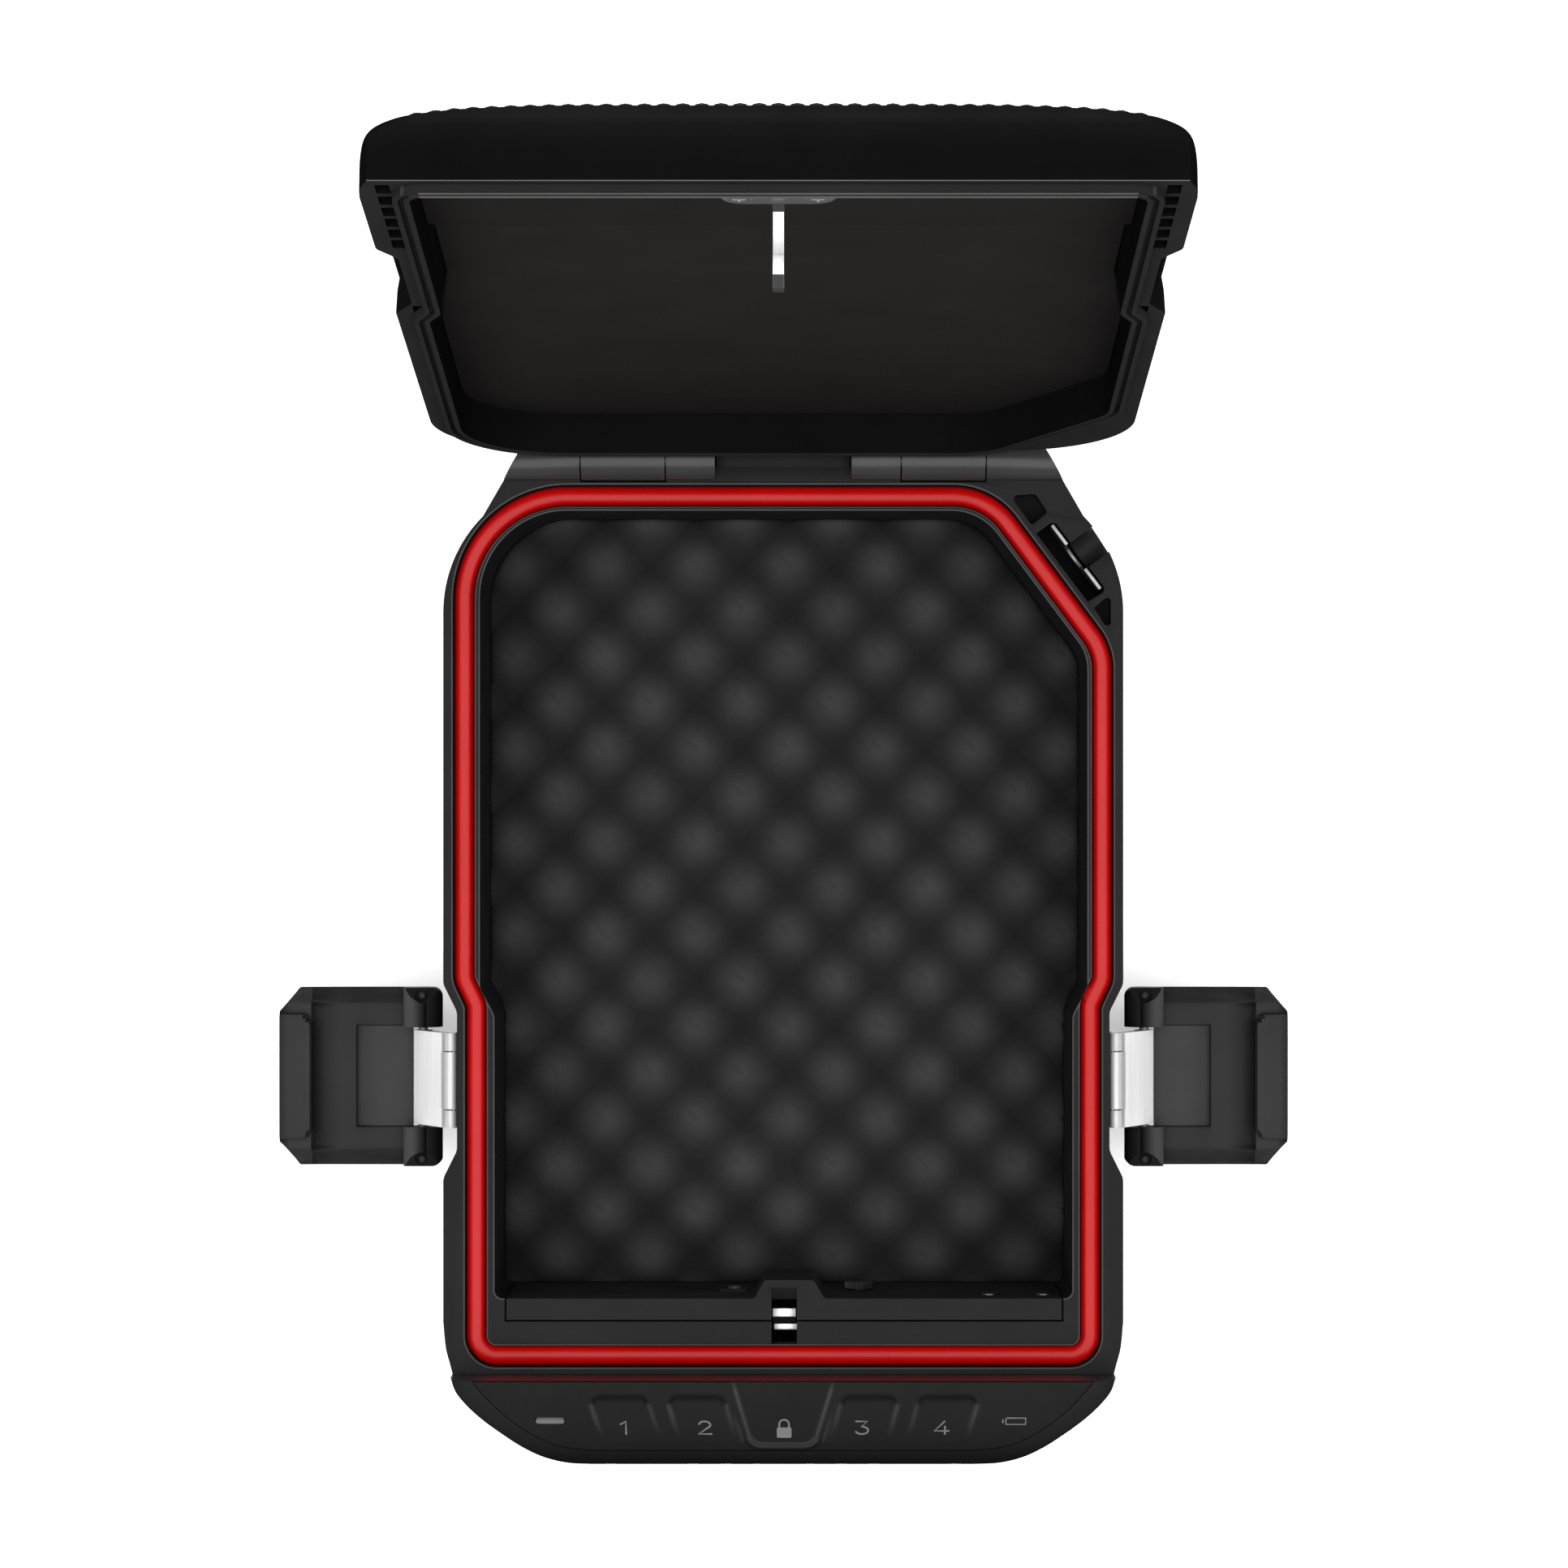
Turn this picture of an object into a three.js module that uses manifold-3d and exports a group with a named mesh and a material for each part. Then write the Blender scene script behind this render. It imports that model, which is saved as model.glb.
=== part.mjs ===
// Portable lock box: hinged lid held by two side draw latches, rim seal,
// foam-lined cavity, keypad nose with a motor-driven bolt, cable anchor slot.
// Millimetres, +Z up, +Y towards the hinge, X across. The lid is modelled
// closed and turned about the hinge axis to the open rest pose.
import * as THREE from 'three';
import { mergeVertices } from 'three/addons/utils/BufferGeometryUtils.js';
import Module from 'manifold-3d';

const wasm = await Module();
wasm.setup();

// ------------------------------------------------------------ dimensions
const HALF_W = 81.7;            // half width of the body and lid
const REAR_Y = 123.6;           // rear edge of the base
const RIM_Z = 45;               // rim plane of the base
const SHELL_Z0 = 1.2;           // underside of the base shell
const FLOOR_Z = 5.2;            // cavity floor
const NOSE_WALL_Y = -101.9;     // upright wall behind the keypad nose
const HINGE = { y: 117.6, z: 44.15, r: 4.9 };
const PIN_R = 1.5;
const LID_OPEN = 100;           // degrees, rest pose
const LID_Z = 45.25;            // lid rim plane when closed
const LID_REAR_Y = 112.3;
const LID_FRONT_Y = -101.4;
const TONGUE = { half: 1.65, h: 1.5 };
const SEAL = { half: 2.4, z0: 40.9, z1: 43.4, groove: 2.65, gz: 40.6 };
const LATCH_Y = -31.6;          // centre of the latch notches
const A = { u: 80.2, z: 42.0, r: 1.5 };     // link pivot on the base
const B = { u: 88.0, z: 26.8 };             // lever pivot, latch open
const LEVER = { half: 21.75, boss: 4.8, tip: 35.1, lip: 27.4 };
const KEY_TILT = 40 * Math.PI / 180;
const KEY_O = { y: -111.5, z: 55.45 };      // keypad frame origin on the face
const BOLT = { z0: 35.6, z1: 37.6, tip: -87.0 };
const SLOT = { x0: -2.85, x1: 3.28, y0: -94.75, y1: -81.2, z: 26 };

// ------------------------------------------------------------ materials
const mat = (color, roughness, metalness) => new THREE.MeshStandardMaterial({ color, roughness, metalness });
const M = {
  shell: mat(0x232323, 0.5, 0), lid: mat(0x202020, 0.5, 0), panel: mat(0x262626, 0.42, 0),
  key: mat(0x242424, 0.45, 0), steel: mat(0xc9c9cb, 0.28, 1), darkSteel: mat(0x8c8c90, 0.35, 1),
  seal: mat(0xc01010, 0.4, 0), foam: mat(0x242424, 0.95, 0), pad: mat(0x151515, 0.9, 0),
  lever: mat(0x2b2b2b, 0.45, 0), board: mat(0x1d4a2a, 0.6, 0), cell: mat(0x4a4a4e, 0.4, 0.4),
  lens: mat(0x3a3a3c, 0.15, 0), light: mat(0x8a8a8a, 0.3, 0), chrome: mat(0xd8d8da, 0.18, 1),
};

// ------------------------------------------------------------ helpers
const RAD = Math.PI / 180;
function solid(geo) {
  geo.deleteAttribute('normal'); geo.deleteAttribute('uv');
  let g = mergeVertices(geo, 1e-4);
  const p = g.attributes.position.array, ix = g.index.array, tri = [];
  for (let i = 0; i < ix.length; i += 3) {
    const [a, b, c] = [ix[i], ix[i + 1], ix[i + 2]];
    if (a !== b && b !== c && a !== c) tri.push(a, b, c);
  }
  return new wasm.Manifold(new wasm.Mesh({ numProp: 3, vertProperties: new Float32Array(p), triVerts: new Uint32Array(tri) }));
}
const group = new THREE.Group();
function piece(parent, name, m, material) {
  const mesh = m.getMesh();
  const geo = new THREE.BufferGeometry();
  geo.setAttribute('position', new THREE.BufferAttribute(new Float32Array(mesh.vertProperties), 3));
  geo.setIndex(new THREE.BufferAttribute(new Uint32Array(mesh.triVerts), 1));
  const o = new THREE.Mesh(geo, material);
  o.name = name; parent.add(o);
  return o;
}
// rounded outline from corners [x, y, r], counter-clockwise
function rounded(corners, step = 20) {
  const out = [], n = corners.length;
  for (let i = 0; i < n; i++) {
    const p = corners[(i + n - 1) % n], c = corners[i], q = corners[(i + 1) % n], r = c[2] || 0;
    const a = new THREE.Vector2(c[0] - p[0], c[1] - p[1]).normalize();
    const b = new THREE.Vector2(q[0] - c[0], q[1] - c[1]).normalize();
    const turn = Math.atan2(a.x * b.y - a.y * b.x, a.dot(b));
    if (r < 0.05 || Math.abs(turn) < 0.02) { out.push([c[0], c[1]]); continue; }
    const t = r * Math.tan(Math.abs(turn) / 2), s = Math.sign(turn);
    const cx = c[0] - a.x * t - a.y * s * r, cy = c[1] - a.y * t + a.x * s * r;
    const a0 = Math.atan2(c[1] - a.y * t - cy, c[0] - a.x * t - cx);
    const k = Math.max(1, Math.round(Math.abs(turn) / (step * RAD)));
    for (let j = 0; j <= k; j++) out.push([cx + r * Math.cos(a0 + turn * j / k), cy + r * Math.sin(a0 + turn * j / k)]);
  }
  return out;
}
// inward offset of a corner list (d > 0 shrinks)
function inset(corners, d) {
  const n = corners.length, L = [];
  for (let i = 0; i < n; i++) {
    const p = corners[i], q = corners[(i + 1) % n];
    const t = new THREE.Vector2(q[0] - p[0], q[1] - p[1]).normalize();
    L.push({ x: p[0] - t.y * d, y: p[1] + t.x * d, tx: t.x, ty: t.y });
  }
  return corners.map((c, i) => {
    const a = L[(i + n - 1) % n], b = L[i], det = a.tx * b.ty - a.ty * b.tx;
    const s = ((b.x - a.x) * b.ty - (b.y - a.y) * b.tx) / det;
    const r = (c[2] || 0) - Math.sign(det) * d;
    return [a.x + a.tx * s, a.y + a.ty * s, c[2] ? Math.max(r, 0.3) : 0];
  });
}
const shapeOf = (pts) => new THREE.Shape(pts.map(([x, y]) => new THREE.Vector2(x, y)));
function prism(pts, z0, z1, bev = 0, seg = 1) {
  const h = z1 - z0;
  const g = new THREE.ExtrudeGeometry(shapeOf(pts), bev
    ? { depth: h - 2 * bev, bevelEnabled: true, bevelThickness: bev, bevelSize: bev, bevelOffset: -bev, bevelSegments: seg }
    : { depth: h, bevelEnabled: false });
  g.translate(0, 0, z0 + bev);
  return solid(g);
}
const ring = (outer, inner, z0, z1) => prism(outer, z0, z1).subtract(prism(inner, z0 - 1, z1 + 1));
// outline in (y, z) carried along X, and outline in (x, z) carried along Y
function alongX(pts, x0, x1) {
  const g = new THREE.ExtrudeGeometry(shapeOf(pts), { depth: x1 - x0, bevelEnabled: false });
  g.rotateX(Math.PI / 2).rotateZ(Math.PI / 2);
  g.translate(x0, 0, 0);
  return solid(g);
}
function alongY(pts, y0, y1) {
  const g = new THREE.ExtrudeGeometry(shapeOf(pts), { depth: y1 - y0, bevelEnabled: false });
  g.rotateX(Math.PI / 2);
  g.translate(0, y1, 0);
  return solid(g);
}
function box(x0, x1, y0, y1, z0, z1) {
  const g = new THREE.BoxGeometry(x1 - x0, y1 - y0, z1 - z0);
  g.translate((x0 + x1) / 2, (y0 + y1) / 2, (z0 + z1) / 2);
  return solid(g);
}
function rod(axis, r, a, b, c0, c1, n = 16) {
  const g = new THREE.CylinderGeometry(r, r, c1 - c0, n);
  if (axis === 'x') { g.rotateZ(Math.PI / 2); g.translate((c0 + c1) / 2, a, b); }
  if (axis === 'y') g.translate(a, (c0 + c1) / 2, b);
  if (axis === 'z') { g.rotateX(Math.PI / 2); g.translate(a, b, (c0 + c1) / 2); }
  return solid(g);
}
const mirrorPts = (pts) => pts.map(([x, y]) => [-x, y]).reverse();
const arcPts = (cx, cy, r, a0, a1, n) => Array.from({ length: n + 1 }, (_, i) => {
  const a = (a0 + (a1 - a0) * i / n) * RAD; return [cx + r * Math.cos(a), cy + r * Math.sin(a)];
});

// ------------------------------------------------------------ outlines
const noseSide = [[-81.7, -89.5], [-81.1, -95.6], [-80.1, -99.5], [-79.4, -102.2], [-78.5, -105.2], [-76.9, -107.7],
  [-74.6, -110.4], [-71.4, -113.4], [-67.2, -116.7], [-62.3, -119.9], [-57.2, -122.3], [-51.5, -123.9], [-45.5, -124.6]];
const leftSide = [
  ...rounded([[0, 123.6, 0], [-60.9, REAR_Y, 3.4], [-72.15, 104.15, 0]], 30).slice(1, -1),
  ...arcPts(-49.1, 81.1, 32.6, 135, 180, 4),
  ...rounded([[-HALF_W, 40, 0], [-HALF_W, -8.3, 4], [-78.4, -14.9, 4], [-78.4, -48.3, 4], [-HALF_W, -54.9, 4], [-HALF_W, -70, 0]], 18).slice(1, -1),
  ...noseSide];
const baseOutline = [...leftSide, ...mirrorPts(leftSide)];
const lidLeft = [
  ...rounded([[0, LID_REAR_Y, 0], [-HALF_W, LID_REAR_Y, 28], [-HALF_W, -8.3, 4], [-78.4, -14.9, 4], [-78.4, -48.3, 4],
    [-HALF_W, -54.9, 4], [-HALF_W, -89.5, 0]], 15).slice(1, -1),
  [-81.7, -89.5], [-81.1, -95.6], [-80.2, -99.2], [-79.5, LID_FRONT_Y]];
const lidOutline = [...lidLeft, ...mirrorPts(lidLeft)];
const sealLine = [[-76.8, 109.1, 25], [-76.8, -7.2, 5], [-73.9, -13.3, 5], [-73.9, -97.8, 5], [73.9, -97.8, 5],
  [73.9, -13.3, 5], [76.8, -7.2, 5], [76.8, 72.0, 14], [49.1, 109.1, 16.4]];
const cavityLine = [[-72.9, 105.5, 21], [-72.9, -9.2, 4], [-69.4, -15.8, 4], [-69.4, -83.85, 2], [69.5, -83.85, 2],
  [69.5, -15.8, 4], [73.1, -9.2, 4], [73.1, 71.0, 11], [47.3, 105.5, 14]];

// side view of the nose, from the upright wall over the keypad face to the foot
const face = [[NOSE_WALL_Y, 60.6], [-105, 59.65], [-109, 57.35], [-113, 54.1], [-116.5, 50.4], [-119.6, 46.0],
  [-122.1, 40.4], [-123.7, 34.0], [-124.6, 27.0]];
function faceSolid(d, x0, x1) {            // everything below the face lowered by d along its normal
  const pts = face.map(([y, z], i) => {
    const p = face[Math.max(i - 1, 0)], q = face[Math.min(i + 1, face.length - 1)];
    const t = new THREE.Vector2(q[0] - p[0], q[1] - p[1]).normalize();
    return [y - t.y * d, z + t.x * d];
  });
  if (d !== 0) pts[0] = [NOSE_WALL_Y + 6, pts[0][1] + 1.6]; else pts.unshift([NOSE_WALL_Y + 6, 62.2]);
  pts.push([pts[pts.length - 1][0], 0]);
  pts.push([NOSE_WALL_Y + 6, 0]);
  return alongX(pts, x0, x1);
}

// ------------------------------------------------------------ base shell
let base = prism(baseOutline, SHELL_Z0, RIM_Z + 6, 2.0, 2).intersect(box(-100, 100, -140, 140, 0, RIM_Z));
const noseTop = alongY([[-90, 0], [90, 0], [90, 50], [79.4, 53.5], [78.2, 57.5], [75.4, 60.6], [70, 62], [-70, 62], [-75.4, 60.6], [-78.2, 57.5], [-79.4, 53.5], [-90, 50]], -140, NOSE_WALL_Y);
base = base.add(prism(baseOutline, 20, 66).intersect(faceSolid(0, -100, 100)).intersect(noseTop).subtract(box(-100, 100, NOSE_WALL_Y, 60, 0, 80)));
// the front of the lower body follows the nose section
base = base.intersect(faceSolid(0, -100, 100).add(box(-100, 100, NOSE_WALL_Y + 1, 140, -5, RIM_Z)));
// cavity, seal groove
base = base.subtract(prism(rounded(cavityLine), FLOOR_Z, 60));
base = base.subtract(ring(rounded(inset(sealLine, -SEAL.groove)), rounded(inset(sealLine, SEAL.groove)), SEAL.gz, 60));
// battery and lock compartment behind the deck cover
base = base.subtract(box(-66.8, 67.2, -89.25, -83, 42.2, 50))
  .subtract(box(-66.8, 67.2, -87, -83, FLOOR_Z, 50))
  .subtract(box(-64, 64, -94.4, -84, 6, 41.7))
  .subtract(box(-64, 64, -117.4, -90, 6, 38.5));
base = base.subtract(box(SLOT.x0, SLOT.x1, SLOT.y0, -84, 30, 60));
// hollow of the nose under the keypad panel
const noseHollow = prism([[-67, -103.7], [-61.5, -112], [-55, -117.2], [55, -117.2], [61.5, -112], [67, -103.7]], 37, 70)
  .intersect(faceSolid(2.2, -90, 90));
base = base.subtract(noseHollow);
const panelPlan = [[-73.6, NOSE_WALL_Y], [-71.4, -104.6], [-68.4, -108.2], [-64.3, -112.2], [-59, -116.2], [-53.4, -118.9], [-46, -120.2]];
const panelOutline = rounded([...panelPlan, ...mirrorPts(panelPlan)].map((p) => [p[0], p[1], 0]));
base = base.subtract(prism([[-73.9, -90], ...panelOutline.map(([x, y]) => [x * 1.004, y - 0.3]).slice(0, panelOutline.length), [73.9, -90]], 30, 80)
  .subtract(faceSolid(2.3, -90, 90)).subtract(box(-100, 100, NOSE_WALL_Y, -80, 0, 90)));
// post that takes the thumb screw
base = base.add(box(15, 21.7, -91.2, -88.2, 5, 28.6)).subtract(rod('y', 1.85, 18.35, 24.6, -93, -87, 12));
// rubber pad recess in the underside
const padOutline = rounded([[-62, 100, 12], [-62, -100, 12], [62, -100, 12], [62, 100, 12]], 30);
base = base.subtract(prism(rounded(inset([[-62, 100, 12], [-62, -100, 12], [62, -100, 12], [62, 100, 12]], -0.3), 30), 0, 2.3));
// recesses in the side walls for the latch bosses
for (const s of [-1, 1]) {
  const prof = [[74.7, 20.2], [76.5, 18.2], [90, 16.5], [90, 35.5], [78.0, 35.5], [74.7, 30]];
  const pts = s > 0 ? prof : mirrorPts(prof);
  base = base.subtract(alongY(pts, LATCH_Y - 22.3, LATCH_Y + 22.3));
}
// hinge: fixed knuckles, recesses for the lid's knuckles, pin bores
const KN = [[-70, -48.8], [-28.1, -16.4], [16.4, 28.1], [48.8, 70]];
const knBlock = (x0, x1, r) => rod('x', r, HINGE.y, HINGE.z, x0, x1, 20);
let fixed = knBlock(...KN[0], HINGE.r);
for (const k of KN.slice(1)) fixed = fixed.add(knBlock(...k, HINGE.r));
fixed = fixed.intersect(prism(baseOutline, 30, 60));
for (const s of [-1, 1]) {
  const x0 = s < 0 ? -48.8 : 28.1, x1 = s < 0 ? -28.1 : 48.8;
  base = base.subtract(knBlock(x0, x1, HINGE.r + 0.45)).subtract(box(x0, x1, HINGE.y, 130, HINGE.z - 5.35, 60));
}
base = base.add(fixed);
for (const s of [-1, 1]) {
  const x0 = s < 0 ? -59.8 : 16, x1 = s < 0 ? -16 : 59.8;
  base = base.subtract(rod('x', PIN_R + 0.35, HINGE.y, HINGE.z, x0, x1, 12));
}
// cable anchor: slot, half-round channel to the outside, two pockets
const AN = { o: [60.76, 99.98], s: [0.603, -0.798], n: [0.798, 0.603] };
const anPt = (s, n) => [AN.o[0] + AN.s[0] * s + AN.n[0] * n, AN.o[1] + AN.s[1] * s + AN.n[1] * n];
const slotPts = [anPt(0, 0), anPt(20.6, 0), anPt(21.0, 4.4), anPt(20.2, 5.3), anPt(0.9, 5.3), anPt(0.1, 4.4)];
base = base.subtract(prism(slotPts, 24, 60));
{
  const g = new THREE.ExtrudeGeometry(shapeOf([[-3.65, 8], ...arcPts(0, -2.4, 3.65, 180, 360, 8), [3.65, 8]]), { depth: 18, bevelEnabled: false });
  const m = new THREE.Matrix4().makeBasis(new THREE.Vector3(AN.s[0], AN.s[1], 0), new THREE.Vector3(0, 0, 1), new THREE.Vector3(-AN.n[0], -AN.n[1], 0));
  g.applyMatrix4(m);
  const c = anPt(10.4, 3.8 + 18);
  g.translate(c[0], c[1], RIM_Z);
  base = base.subtract(solid(g));
}
base = base.subtract(prism(rounded([[54.5, 109.1, 1], [59.7, 101.9, 0.8], [63.6, 105.1, 1], [60.6, 109.5, 1.2]], 45), 27, 60));
base = base.subtract(prism([[74.75, 82.1], [77.2, 78.1], [78.5, 78.2], [78.5, 84.2], [77.7, 84.6]], 27, 60));
// holes of the latch brackets' tabs
for (const s of [-1, 1]) {
  for (const y of [-8, 8]) {
    const x0 = s < 0 ? -79 : 75.9;
    base = base.subtract(box(x0, x0 + 3.1, LATCH_Y + y - 2.3, LATCH_Y + y + 2.3, 36.9, 39.1));
  }
}
piece(group, 'base_shell', base, M.shell);

piece(group, 'base_pad', prism(padOutline, 0, 1.95), M.pad);
piece(group, 'foam_pad', prism(rounded(inset(cavityLine, 0.5)), FLOOR_Z + 0.3, 11), M.foam);
// seal: tube with a flattened foot lying in the groove
{
  const o = rounded(inset(sealLine, -SEAL.half)), i = rounded(inset(sealLine, SEAL.half));
  const o2 = rounded(inset(sealLine, -SEAL.half + 1.1)), i2 = rounded(inset(sealLine, SEAL.half - 1.1));
  let m = ring(o, i, SEAL.z0, SEAL.z0 + 1.4).add(ring(o2, i2, SEAL.z0 + 1.3, SEAL.z1));
  piece(group, 'rim_seal', m, M.seal);
}

// ------------------------------------------------------------ deck cover
const bump = [[-6.9, -84.0], [9.9, -84.0], [7.3, -79.4], [-4.5, -79.4]];
let deck = box(-66.5, 66.9, -88.95, -83.85, 42.5, RIM_Z).add(box(-66.5, 66.9, -86.1, -83.85, FLOOR_Z + 0.3, RIM_Z));
deck = deck.add(prism(bump, 19, RIM_Z)).add(box(-6.9, 9.9, -86.1, -83.9, 19, RIM_Z));
deck = deck.subtract(box(SLOT.x0, SLOT.x1, SLOT.y0, SLOT.y1, SLOT.z, 60));
deck = deck.subtract(rod('y', 2.15, -11.8, 27, -90, -80, 12)).subtract(rod('y', 1.85, 18.35, 24.6, -90, -80, 12))
  .subtract(rod('y', 2.75, 49.8, 34.4, -90, -80, 14)).subtract(rod('y', 2.75, 63.0, 34.4, -90, -80, 14));
piece(group, 'deck_cover', deck, M.shell);
piece(group, 'program_button', rod('y', 1.8, -11.8, 27, -87.6, -82.6, 12), M.panel);
piece(group, 'thumb_screw', rod('y', 3.4, 18.35, 24.6, -83.5, -81.9, 16).add(rod('y', 1.5, 18.35, 24.6, -91.6, -83.4, 12)), M.panel);
piece(group, 'cavity_light_lens', rod('y', 2.4, 49.8, 34.4, -86.8, -83.5, 14), M.lens);
piece(group, 'lid_sensor_lens', rod('y', 2.4, 63.0, 34.4, -86.8, -83.5, 14), M.lens);

// ------------------------------------------------------------ keypad
const kAxis = { t: [Math.cos(KEY_TILT), Math.sin(KEY_TILT)], n: [-Math.sin(KEY_TILT), Math.cos(KEY_TILT)] };
function tilted(pts, z0, z1) {             // prism in the keypad frame
  const g = new THREE.ExtrudeGeometry(shapeOf(pts), { depth: z1 - z0, bevelEnabled: false });
  g.translate(0, 0, z0);
  g.rotateX(KEY_TILT);
  g.translate(0, KEY_O.y, KEY_O.z);
  return solid(g);
}
const keyCorners = {
  key_1: [[-45.9, 7.6, 2.4], [-42.2, -9.3, 1.6], [-29.1, -9.3, 1.6], [-32.8, 7.6, 2.4]],
  key_2: [[-27.4, 7.6, 2.4], [-24.0, -9.3, 1.6], [-11.3, -9.3, 1.6], [-14.3, 7.6, 2.4]],
  key_3: [[14.5, 7.6, 2.4], [11.3, -9.3, 1.6], [24.4, -9.3, 1.6], [27.3, 7.6, 2.4]],
  key_4: [[32.7, 7.6, 2.4], [29.6, -9.3, 1.6], [43.1, -9.3, 1.6], [46.3, 7.6, 2.4]],
  key_lock: [[-10.7, 7.9, 1.0], [-6.6, -9.6, 3], [6.5, -9.6, 3], [10.8, 7.9, 1.0]],
};
let panel = prism(panelOutline, 30, 80).intersect(faceSolid(0, -90, 90)).subtract(faceSolid(2.0, -90, 90)).subtract(box(-100, 100, NOSE_WALL_Y, -60, 0, 90)).intersect(noseTop);
for (const c of Object.values(keyCorners)) panel = panel.subtract(tilted(rounded(inset(c, -0.35), 35), -8, 6));
const pill = (x0, x1, y, h, d) => rounded([[x0 - d, y + h + d, h], [x0 - d, y - h - d, h], [x1 + d, y - h - d, h], [x1 + d, y + h + d, h]], 45);
panel = panel.subtract(tilted(pill(-59.0, -52.0, -0.9, 0.85, 0.3), -8, 6));
piece(group, 'keypad_panel', panel, M.panel);
piece(group, 'status_light', tilted(pill(-59.0, -52.0, -0.9, 0.85, 0), -3.2, 3).intersect(faceSolid(0.1, -90, 90)), M.light);
for (const [name, c] of Object.entries(keyCorners)) {
  const d = name === 'key_lock' ? 0.25 : 0.7;
  piece(group, name, tilted(rounded(c, 35), -3.6, 3).intersect(faceSolid(d, -90, 90)).subtract(box(-90, 90, NOSE_WALL_Y - 2.45, -90, 30, 70)), M.key);
}
piece(group, 'circuit_board', tilted([[-54, 3.1], [-54, -8.4], [54, -8.4], [54, 3.1]], -6.6, -5.1), M.board);

// ------------------------------------------------------------ lock
const PIN_C = { x: 13.0, y: -98.0, r: 3.1 };
let bolt = box(-6.5, 9.5, -104, -90.0, BOLT.z0, BOLT.z1).add(box(-2.55, 2.98, -90.2, BOLT.tip, BOLT.z0, BOLT.z1));
bolt = bolt.subtract(box(-2.95, 3.4, -95.0, -92.1, 30, 40)).subtract(box(-3, 3.4, -90.5, -88.9, BOLT.z1 - 1.2, 40));
piece(group, 'lock_bolt', bolt, M.steel);
let frame = box(-12, 24, -105, -92.2, 33.0, 34.9).subtract(rod('z', 1.4, PIN_C.x, PIN_C.y, 30, 40, 12)).subtract(box(-3.4, 3.9, -96, -90, 30, 40));
frame = frame.add(box(-12, -7.2, -105, -92.2, 34.8, 37.9));
piece(group, 'lock_frame', frame, M.darkSteel);
piece(group, 'lock_motor', rod('z', 6, PIN_C.x, PIN_C.y, 9, 32.6, 16).add(rod('z', 1.0, PIN_C.x, PIN_C.y, 32.5, 37.8, 10)), M.steel);
piece(group, 'drive_pinion', rod('z', PIN_C.r, PIN_C.x, PIN_C.y, 35.4, 38.0, 16).subtract(rod('z', 1.35, PIN_C.x, PIN_C.y, 30, 40, 10)), M.darkSteel);
for (const [i, y, z] of [[1, -94.9, 14.2], [2, -109.8, 14.2], [3, -94.9, 29.1], [4, -109.8, 29.1]]) {
  piece(group, `battery_cell_${i}`, rod('x', 7.2, y, z, -63.5, -14.2, 16).add(rod('x', 2.6, y, z, -14.3, -13.2, 10)), M.cell);
}

// ------------------------------------------------------------ anchor plate, hinge pins
{
  const mid = (n0) => [anPt(0.5, n0), anPt(6.0, n0), anPt(7.4, n0 - 0.9), anPt(9.2, n0 - 1.6), anPt(11.4, n0 - 1.6), anPt(13.2, n0 - 0.9), anPt(14.6, n0), anPt(19.9, n0)];
  piece(group, 'anchor_plate', prism([...mid(2.9), ...mid(4.75).reverse()], 27, 44.4), M.darkSteel);
}
for (const s of [-1, 1]) {
  const x0 = s < 0 ? -59.4 : 16.8, x1 = s < 0 ? -16.8 : 59.4;
  piece(group, s < 0 ? 'hinge_pin_left' : 'hinge_pin_right', rod('x', PIN_R, HINGE.y, HINGE.z, x0, x1, 12), M.steel);
}

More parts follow.
